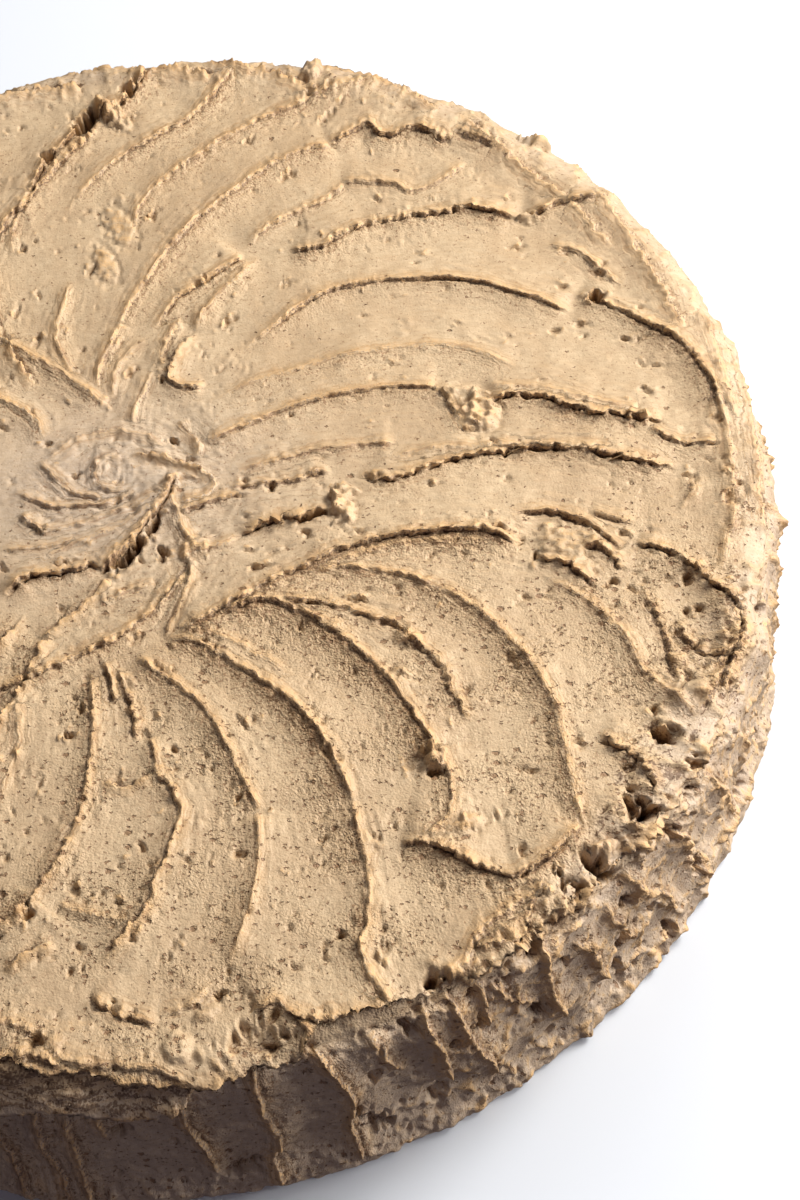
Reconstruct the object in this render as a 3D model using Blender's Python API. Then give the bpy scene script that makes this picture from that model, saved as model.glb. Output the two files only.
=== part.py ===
"""Frosted round layer cake, uncut: one solid.

A flat-bottomed drum of cake under thick frosting. The top is spread with a
spatula in curved strokes that fan out from a small swirl in the middle; every
stroke leaves a ridge line with a lip on one side and a shallow trough on the
other. Frosting hangs over the rim as a ragged ledge, and the side is daubed
with upright strokes that meet in sharp, leaning ridges.

The surface is worked out on a flat sheet. A point at distance s and angle
theta from the middle of the sheet lies at arc length s from the middle of the
cake's turned profile: across the top, round the edge and down to the base.
"""
from math import asin, atan2, cos, degrees, hypot, pi, radians, sin, sqrt

import bmesh
import bpy
import numpy as np
from mathutils import Vector
from mathutils.geometry import delaunay_2d_cdt

# ------------------------------------------------------------------ sizes, mm
R_SIDE = 119.5          # frosted side
H_TOP = 47.5            # frosted top
R_EDGE = 7.0            # rounding between top and side
S_TOP = R_SIDE - R_EDGE
S_WALL = S_TOP + R_EDGE * pi / 2
S_BASE = S_WALL + H_TOP - R_EDGE

BASE_BEAD = 1.6         # frosting squeezed out along the base
LEDGE_OUT = 2.2         # how far the overhanging ledge stands out
LEDGE_SET_BACK = 1.8    # how far the wall lies in under it
LEDGE_MIDDLE = 250.0    # degrees, the middle of the ledge
LEDGE_HALF = 62.0       # degrees, half its length
LIP_S = 125.0           # where along the profile the ledge ends
DAB_HEIGHT = 1.7        # ridges between the upright strokes on the side
DAB_SPACING = 5.6       # degrees between them
DAB_LEAN = 3.2          # degrees they lean from top to bottom
BACK_STROKES = 9        # strokes on the side away from the front
SEED = 11

RIDGE_STEP = 4.6        # facet length along a ridge line
TOP_STEP = 5.4          # facet size of the open top
SIDE_STEP = 6.2         # facet size of the open side
BASE_POINTS = 156       # points round the base
LEDGE_POINTS = 66       # points along the ledge's lip

# Each spatula stroke: ends of its ridge line, how far the line bulges to its
# left, how far that bulge leans to the start, the drop on its right, the reach
# of the trough there, the lip's height, and how softly it starts and ends.
STROKES = [
    (-6, 23, -60, 75, 6, 0, 0.9, 12, 0.5, 8, 12),
    (-22, 20, -72, 50, 8, 0, 0.9, 12, 0.5, 8, 12),
    (-12, 31, -12, 62, 5, 0, 1.0, 9, 0.5, 6, 8),
    (-26, 70, 5, 114, 3.4, 0, 2.8, 10, 1.0, 8, 6),
    (-16, 68, 23, 111, 3, 1.5, 1.5, 9, 0.7, 8, 6),
    (-10, 60, 52, 102, 10, 1, 1.4, 12, 0.5, 10, 8),
    (-9, 30, 66, 87, 19.8, 0, 1.6, 14, 0.6, 8, 8),
    (0, 34, 21, 60, 3.6, 0, 1.6, 8, 0.5, 5, 3),
    (21, 63, 42, 76, 1.5, 0, 1.0, 8, 0.5, 6, 4),
    (6, 30, 94, 65, 17.6, 4, 2.4, 16, 0.8, 30, 8),
    (12, 27, 86, 37, 17.7, 0.7, 1.9, 15, 0.4, 14, 12),
    (83, 41, 112, 2, 9, 0, 1.0, 7, 0.6, 4, 8),
    (14, 19.5, 73.5, 24.5, 9, 0, 0.8, 10, 0.4, 8, 12),
    (66, 20, 104, 0, 2.6, -1.2, 2.3, 10, 1.2, 3, 4),
    (12, 12, 64, 20, 5.5, 0, 0.8, 12, 0.4, 8, 5),
    (20, 1.5, 102, -3.5, 5.5, 0, 1.6, 9, 1.0, 14, 10),
    (7, -13, 35, -7, 1.8, 0, 2.0, 8, 0.9, 6, 4),
    (8, -29, 88, -21, 10.8, 0.8, 3.0, 14, 1.3, 8, 8),
    (86, -20.5, 108, -38, 4.7, 0, 1.6, 8, 0.8, 6, 4),
    (33, -20, 72, -79, 18, 0, 1.5, 16, 0.5, 8, 3),
    (46, -78, 72, -79, -9, 0, 2.6, 9, 0.8, 3, 4),
    (23, -25, 57, -55, 7, 0, 1.0, 5, 0.6, 4, 4),
    (16, -26, 52, -75, 9.7, 0, 2.8, 12, 0.6, 6, 8),
    (4, -31, 37, -92, 11.5, 0.8, 2.4, 14, 0.5, 5, 6),
    (37, -90, 39, -107, -2.5, 0, 1.6, 9, 0.6, 4, 4),
    (-4, -33, 14, -96, 12, 0, 1.3, 12, 0.5, 6, 10),
    (-8, -37, -8, -96, 12, 0, 0.8, 10, 0.4, 8, 10),
    (-12, -36, -22, -85, 4.5, 0, 0.9, 10, 0.4, 6, 8),
    (-28, -42, 6, -17, -3.6, 1.2, 1.8, 8, 0.6, 5, 4),
    (-28, -20, -7, -14, 3, 0, 1.6, 7, 0.5, 4, 3),
    (-10, 17, 13, 2, 5, 0, 1.0, 6, 0.7, 4, 3),
]
# Lumps left where a stroke dragged: middle, half sizes, height.
LUMPS = [
    (66, 14.5, 4.6, 5.6, 2.2),
    (38, -7, 2.3, 5.6, 2.0),
    (50, -63, 2.2, 3.6, 1.4),
    (-7, 63, 3.6, 8.0, 1.3),
]
# Torn hollows: middle, half sizes, depth.
HOLLOWS = [
    (-9, 100, 3.5, 6.0, 3.0),
    (77, -88, 3.4, 3.0, 2.6),
    (85, -77, 2.6, 3.0, 2.0),
    (22, -109, 5.0, 3.4, 2.0),
    (91, 40, 3.2, 2.6, 2.4),
]
CLEFT = (4, 4, -7, -16, 1.8, 3.2, 2.2)      # the split beside the middle swirl


# ------------------------------------------------------------------ functions
def ramp(x, lo, hi):
    t = np.clip((x - lo) / (hi - lo), 0.0, 1.0)
    return t * t * (3.0 - 2.0 * t)


def waves(x, y, seed):
    """Smooth unevenness of about -1 to 1: five crossed waves of fixed seed."""
    rng = np.random.default_rng(seed)
    total = 0.0
    for _ in range(5):
        turn, phase, size = rng.uniform(0, 2 * pi), rng.uniform(0, 2 * pi), rng.uniform(0.7, 1.5)
        total = total + np.sin((x * cos(turn) + y * sin(turn)) * size + phase)
    return total / 2.4


class Arc:
    """A circular arc between two points, bulging to its left by bow."""

    def __init__(self, x0, y0, x1, y1, bow, lean=0.0):
        self.chord = hypot(x1 - x0, y1 - y0)
        self.e = ((x1 - x0) / self.chord, (y1 - y0) / self.chord)
        self.n = (-self.e[1], self.e[0])
        self.start = (x0, y0)
        self.side = 1.0 if bow >= 0 else -1.0
        sag = max(abs(bow), 0.02)
        self.radius = (self.chord**2 / 4 + sag * sag) / (2 * sag)
        self.middle = tuple(
            (p + q) / 2 + n * self.side * (sag - self.radius)
            for p, q, n in zip((x0, y0), (x1, y1), self.n)
        )
        self.half = asin(min(1.0, self.chord / 2 / self.radius))
        self.length = 2 * self.half * self.radius
        self.lean = lean

    def measure(self, x, y):
        """Distance along the arc, and distance to its left."""
        dx, dy = x - self.middle[0], y - self.middle[1]
        v = self.side * (np.hypot(dx, dy) - self.radius)
        forward = dx * self.e[0] + dy * self.e[1]
        outward = self.side * (dx * self.n[0] + dy * self.n[1])
        u = (np.arctan2(forward, outward) + self.half) * self.radius
        return u, v - self.lean * np.sin(2 * pi * np.clip(u / self.length, 0, 1))

    def point(self, u, v):
        """The place at distance u along the arc and v to its left."""
        v = v + self.lean * sin(2 * pi * min(max(u / self.length, 0), 1))
        angle = u / self.radius - self.half
        reach = self.radius + self.side * v
        out = [self.side * n * cos(angle) + e * sin(angle) for n, e in zip(self.n, self.e)]
        return tuple(m + o * reach for m, o in zip(self.middle, out))


def all_strokes():
    """The table's strokes, then those round the far side, made by rule."""
    made = list(STROKES)
    rng = np.random.default_rng(SEED)
    for k in range(BACK_STROKES):
        part = (k + 0.5) / BACK_STROKES
        start = radians(126 + 112 * part + rng.uniform(-3, 3))
        end = start - radians(24 * (1 - part) - 2 + rng.uniform(-3, 3))
        inner, outer = rng.uniform(34, 42), rng.uniform(98, 108)
        made.append((
            inner * cos(start), inner * sin(start), outer * cos(end), outer * sin(end),
            rng.uniform(6, 10), 0, rng.uniform(1.1, 2.4), rng.uniform(10, 14), 0.6, 8, 8,
        ))
    return made


def side_ridges():
    """Ridges between the upright strokes on the side: (top and bottom angle, top and bottom s, height)."""
    rng = np.random.default_rng(SEED + 1)
    made, angle = [], 0.0
    while angle < 360 - DAB_SPACING / 2:
        top = S_WALL + rng.uniform(-1, 8)
        bottom = S_BASE - rng.uniform(4, 16)
        lean = DAB_LEAN * rng.uniform(0.3, 1.4)
        made.append((angle, angle + lean, top, bottom, DAB_HEIGHT * rng.uniform(0.6, 1.3)))
        angle += DAB_SPACING * rng.uniform(0.75, 1.3)
    return made


TABLE = all_strokes()
ARCS = [Arc(*row[:6]) for row in TABLE]
SIDE = side_ridges()


def ledge(theta):
    """How strongly the top frosting overhangs at this angle, 0 to 1, and the s of its lip."""
    away = np.abs((np.degrees(theta) - LEDGE_MIDDLE + 180) % 360 - 180)
    strength = 1 - ramp(away, LEDGE_HALF - 22, LEDGE_HALF)
    lip = LIP_S + 1.3 * np.sin(7 * theta + 0.6) + 0.8 * np.sin(17 * theta + 2.0)
    return strength, lip


def overhang(s, theta):
    """How far the ledge stands out, or the wall under it lies in, in mm."""
    strength, lip = ledge(theta)
    below = s - lip
    out = LEDGE_OUT * np.exp(-((np.minimum(below, 0) / 9) ** 2)) * (1 - ramp(below, -0.2, 0.9))
    back = LEDGE_SET_BACK * ramp(below, -0.2, 0.9) * np.exp(-np.clip(below, 0, None) / 11)
    return strength * (out - back)


def relief(s, theta):
    """Height of the frosting over the plain profile, in mm, along its normal."""
    x, y = s * np.cos(theta), s * np.sin(theta)
    wobble = 0.5 * waves(x / 5, y / 5, 3)
    top = np.zeros_like(x)
    for row, arc in zip(TABLE, ARCS):
        drop, reach, lip, soft_in, soft_out = row[6:]
        u, v = arc.measure(x, y)
        v = v + wobble
        there = ramp(u, -1, soft_in) * ramp(arc.length - u, -1, soft_out)
        trough = np.where(v < 0, (1 - np.clip(-v / reach, 0, 1)) ** 1.4, 0) * ramp(-v, -0.1, 0.5)
        crest = np.where(v >= 0, np.exp(-((np.abs(v) / 1.9) ** 1.3)), np.exp(-((np.abs(v) / 0.4) ** 2)))
        top += there * (lip * crest * (1 + 0.5 * waves(u / 2.2, v / 9, 7)) - drop * trough)
    for mx, my, rx, ry, height in LUMPS:
        top += height * np.sqrt(np.clip(1.1 - ((x - mx) / rx) ** 2 - ((y - my) / ry) ** 2, 0, 1))
    for mx, my, rx, ry, depth in HOLLOWS:
        top -= depth * np.clip(1.2 - ((x - mx) / rx) ** 2 - ((y - my) / ry) ** 2, 0, 1)
    split = Arc(*CLEFT[:5])
    u, v = split.measure(x, y)
    top -= CLEFT[5] * ramp(u, -1, 3) * ramp(split.length - u, -1, 3) * np.exp(-((v / CLEFT[6]) ** 2))
    top += 0.35 * waves(x / 16, y / 16, 5)

    rim = np.exp(-(((s - S_TOP - 2) / 7) ** 2)) * (0.8 * waves(x / 3.1, y / 3.1, 21) + 0.5 * waves(x / 1.6, y / 1.6, 22))

    wall = 0.5 * waves(theta * R_SIDE / 9, s / 14, 31)
    across = np.zeros_like(x)
    for a0, a1, s0, s1, height in SIDE:
        part = (s - s0) / (s1 - s0)
        off = (theta - np.radians(a0 + (a1 - a0) * np.clip(part, -0.2, 1.2)) + pi) % (2 * pi) - pi
        there = ramp(part, -0.12, 0.1) * ramp(1 - part, -0.15, 0.2)
        across = np.maximum(across, height * there * np.exp(-((np.abs(off) * R_SIDE / 1.7) ** 1.1)))
    wall += across
    low = np.clip((s - (S_BASE - 9)) / 9, 0, 1)
    wall += BASE_BEAD * np.sin(pi * np.clip(low, 0, 0.8)) + 0.5 * low * waves(theta * R_SIDE / 2.4, s / 3, 33)
    flat = 1 - ramp(s, S_TOP - 5, S_TOP + 3)
    return top * flat + rim + wall * ramp(s, S_TOP + 3, S_WALL + 3)


def place(s, theta):
    """The point in mm on the frosted surface."""
    h = relief(s, theta)
    angle = np.clip((s - S_TOP) / R_EDGE, 0, pi / 2)
    radius = np.where(s < S_TOP, s, S_TOP + R_EDGE * np.sin(angle))
    height = np.where(s < S_WALL, H_TOP - R_EDGE + R_EDGE * np.cos(angle), H_TOP - R_EDGE - (s - S_WALL))
    radius = radius + h * np.sin(angle) + overhang(s, theta)
    height = np.where(s > S_BASE - 1e-6, 0.0, height + h * np.cos(angle))
    return np.stack([radius * np.cos(theta), radius * np.sin(theta), height], axis=-1)


class Sheet:
    """Points and ridge edges on the flat sheet, none too close together."""

    def __init__(self):
        self.points, self.edges, self.cells = [], [], {}

    def near(self, p, gap):
        cx, cy = int(p[0] // 4), int(p[1] // 4)
        best = None
        for i in (-1, 0, 1):
            for j in (-1, 0, 1):
                for k in self.cells.get((cx + i, cy + j), ()):
                    q = self.points[k]
                    d = hypot(q[0] - p[0], q[1] - p[1])
                    if d < gap:
                        best, gap = k, d
        return best

    def add(self, p, gap):
        found = self.near(p, gap)
        if found is not None:
            return found
        self.points.append(p)
        self.cells.setdefault((int(p[0] // 4), int(p[1] // 4)), []).append(len(self.points) - 1)
        return len(self.points) - 1

    def line(self, points, gap):
        last = None
        for p in points:
            k = self.add(p, gap)
            if last is not None and k != last:
                self.edges.append((last, k))
            last = k


def polar(s, theta):
    return (s * cos(theta), s * sin(theta))


def lay_out():
    sheet = Sheet()
    for k in range(BASE_POINTS):
        sheet.add(polar(S_BASE, 2 * pi * k / BASE_POINTS), 0.0)
    first, last = (radians(LEDGE_MIDDLE + k * LEDGE_HALF * 0.9) for k in (-1, 1))
    for off in (-0.3, 1.0):                      # the ledge's lip and what lies under it
        turns = [first + (last - first) * k / LEDGE_POINTS for k in range(LEDGE_POINTS + 1)]
        sheet.line([polar(float(ledge(t)[1]) + off, t) for t in turns], 0.6)
    for row, arc in zip(TABLE, ARCS):            # crest and foot of every stroke's ridge
        n = max(3, round(arc.length / RIDGE_STEP))
        rows = [0.45, -0.85]
        for v in rows:
            inside = [arc.point(arc.length * k / n, v) for k in range(n + 1)]
            sheet.line([p for p in inside if hypot(*p) < S_TOP], 0.9)
    for a0, a1, s0, s1, _ in SIDE:               # crest and both feet of every ridge on the side
        n = max(3, round((s1 - s0) / 8))
        for off, gap in ((0.0, 1.2), (-1.5, 1.2), (1.5, 1.2)):
            along = [
                polar(s0 + (s1 - s0) * k / n, radians(a0 + (a1 - a0) * k / n) + off * 1.6 / R_SIDE)
                for k in range(n + 1)
            ]
            if off == 0.0:
                sheet.line([p for p in along if hypot(*p) < S_BASE - 3], gap)
            else:
                for p in along[1::2]:
                    sheet.add(p, gap)
    rng = np.random.default_rng(SEED + 2)
    for step, low, high in ((TOP_STEP, 0, S_TOP - 2), (SIDE_STEP, S_TOP - 2, S_BASE - 2.5)):
        s = low
        while s < high:
            n = max(1, round(2 * pi * max(s, 0.5) / step * (0.84 if s > S_WALL else 1.0)))
            shift = rng.uniform(0, 1)
            for k in range(n):
                theta = 2 * pi * (k + shift + rng.uniform(-0.15, 0.15)) / n
                sheet.add(polar(s + rng.uniform(-0.4, 0.4), theta) if s > 0.5 else (0.0, 0.0), step * 0.52)
            s += step * (0.75 if low else 0.9)
    return sheet


def frosting():
    material = bpy.data.materials.new("chocolate_frosting")
    material.use_nodes = True
    shader = material.node_tree.nodes["Principled BSDF"]
    shader.inputs["Base Color"].default_value = (0.41, 0.24, 0.12, 1.0)
    shader.inputs["Roughness"].default_value = 0.62
    shader.inputs["Metallic"].default_value = 0.0
    return material


def cake():
    sheet = lay_out()
    flat, _, faces, _, _, _ = delaunay_2d_cdt(
        [Vector(p) for p in sheet.points], sheet.edges, [], 0, 1e-4
    )
    x = np.array([p[0] for p in flat])
    y = np.array([p[1] for p in flat])
    s, theta = np.hypot(x, y), np.arctan2(y, x)
    s[np.abs(s - S_BASE) < 0.05] = S_BASE
    points = place(s, theta)
    centre = (points.min(axis=0) + points.max(axis=0)) / 2
    points[:, :2] -= centre[:2]

    bm = bmesh.new()
    verts = [bm.verts.new(p / 1000) for p in points]
    for face in faces:
        bm.faces.new([verts[k] for k in face])
    bm.normal_update()
    rim = [edge for edge in bm.edges if edge.is_boundary]
    bmesh.ops.contextual_create(bm, geom=rim)    # the flat underside
    bmesh.ops.recalc_face_normals(bm, faces=bm.faces)
    mesh = bpy.data.meshes.new("frosted_cake")
    bm.to_mesh(mesh)
    bm.free()
    mesh.shade_smooth()
    mesh.set_sharp_from_angle(angle=radians(50))
    mesh.materials.append(frosting())
    body = bpy.data.objects.new("frosted_cake", mesh)
    bpy.context.scene.collection.objects.link(body)
    return body


for old in list(bpy.data.objects):
    bpy.data.objects.remove(old, do_unlink=True)
cake()
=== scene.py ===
"""Looks of the frosted layer cake: the frosting's real surface at about 0.4 mm, its finish, floor, light and camera.

The surface is worked out on a flat sheet: a point at distance s and angle theta from the sheet's middle lies at arc
length s from the middle of the cake's turned profile, across the top, round the edge and down to the base.
Lengths are in mm until the meshes are made.
"""
from math import asin, cos, hypot, pi, radians, sin

import bpy
import numpy as np
from mathutils import Matrix, Vector


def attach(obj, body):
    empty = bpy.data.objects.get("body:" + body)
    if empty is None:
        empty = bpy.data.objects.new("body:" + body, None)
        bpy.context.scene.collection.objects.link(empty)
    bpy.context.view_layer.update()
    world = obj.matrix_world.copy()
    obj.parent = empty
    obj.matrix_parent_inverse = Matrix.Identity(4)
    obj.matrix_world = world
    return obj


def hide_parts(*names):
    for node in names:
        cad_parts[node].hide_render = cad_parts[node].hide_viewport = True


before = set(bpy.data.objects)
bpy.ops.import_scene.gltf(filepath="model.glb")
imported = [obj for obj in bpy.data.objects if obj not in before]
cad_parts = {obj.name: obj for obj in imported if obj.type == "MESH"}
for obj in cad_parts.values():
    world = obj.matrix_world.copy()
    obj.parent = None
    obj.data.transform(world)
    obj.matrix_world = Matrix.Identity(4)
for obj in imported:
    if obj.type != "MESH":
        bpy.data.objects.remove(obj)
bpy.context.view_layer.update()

# ------------------------------------------------------------------------------------------------ sizes
R_SIDE, H_TOP, R_EDGE = 119.5, 47.5, 7.0
S_TOP = R_SIDE - R_EDGE
S_WALL = S_TOP + R_EDGE * pi / 2
S_BASE = S_WALL + H_TOP - R_EDGE
CENTRE = (0.08, 1.23)             # the turned profile's axis, off the middle of the outline
ROUND = 2 * pi * R_SIDE
RINGS = 345   # rings of the surface grid from the middle to the base
CORE = 154 / 345                  # share of them in the middle piece
SINK = 2.0                        # how far the open faces lie under the nominal top

# the overhanging ledge: how far its lip stands out and the side is set back under it, and by angle the lip's place
# down the edge and its strength
LEDGE_OUT, LEDGE_SET_BACK = 2.4, 2.4
LEDGE = [
    (0, 117.2, 0.2), (30, 118.2, 0.2), (60, 119.2, 0.3), (95, 120.2, 0.5), (120, 122.2, 0.7), (150, 120.2, 0.5), (180, 123.2, 0.8), (205, 121.2, 0.6),
    (225, 123.2, 0.9), (245, 125.2, 1.0), (256, 125.2, 1.0), (262, 124.2, 1.0), (268, 125.7, 1.0), (271.3, 124.2, 0.9), (273, 119.2, 0.8),
    (276, 117.7, 0.8), (281, 117.2, 0.8), (283.4, 113.2, 0.6), (287, 113, 0.4), (291, 114.7, 0.5), (294, 115.7, 0.4), (297, 115.7, 0.7),
    (302, 116.2, 0.8), (304, 115.2, 0.4), (312, 116.2, 0.3), (320, 117.2, 0.3), (335, 117.2, 0.2), (360, 117.2, 0.2),
]
# the brow above it, in front on the left: angles, the place of its lip and its strength
BROW = ([236, 244, 252, 258, 264, 268, 272, 275, 278, 290], [112.5, 113.5, 114, 113.5, 115.5, 117, 118, 118.5, 118, 117],
        [0.0, 0.8, 1.0, 1.0, 1.0, 1.0, 0.9, 0.5, 0.0, 0.0])
RIDGE_BODY = 0.84                 # broad height of a ridge named 1 mm high
DAB_BODY = 1.25                   # heights of the upright ridges on the side, over those named
HOLE_SIZE, HOLE_DEPTH = 0.82, 1.15  # of the holes as made, over the sizes named
BACK_STROKES, SEED = 11, 11

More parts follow.
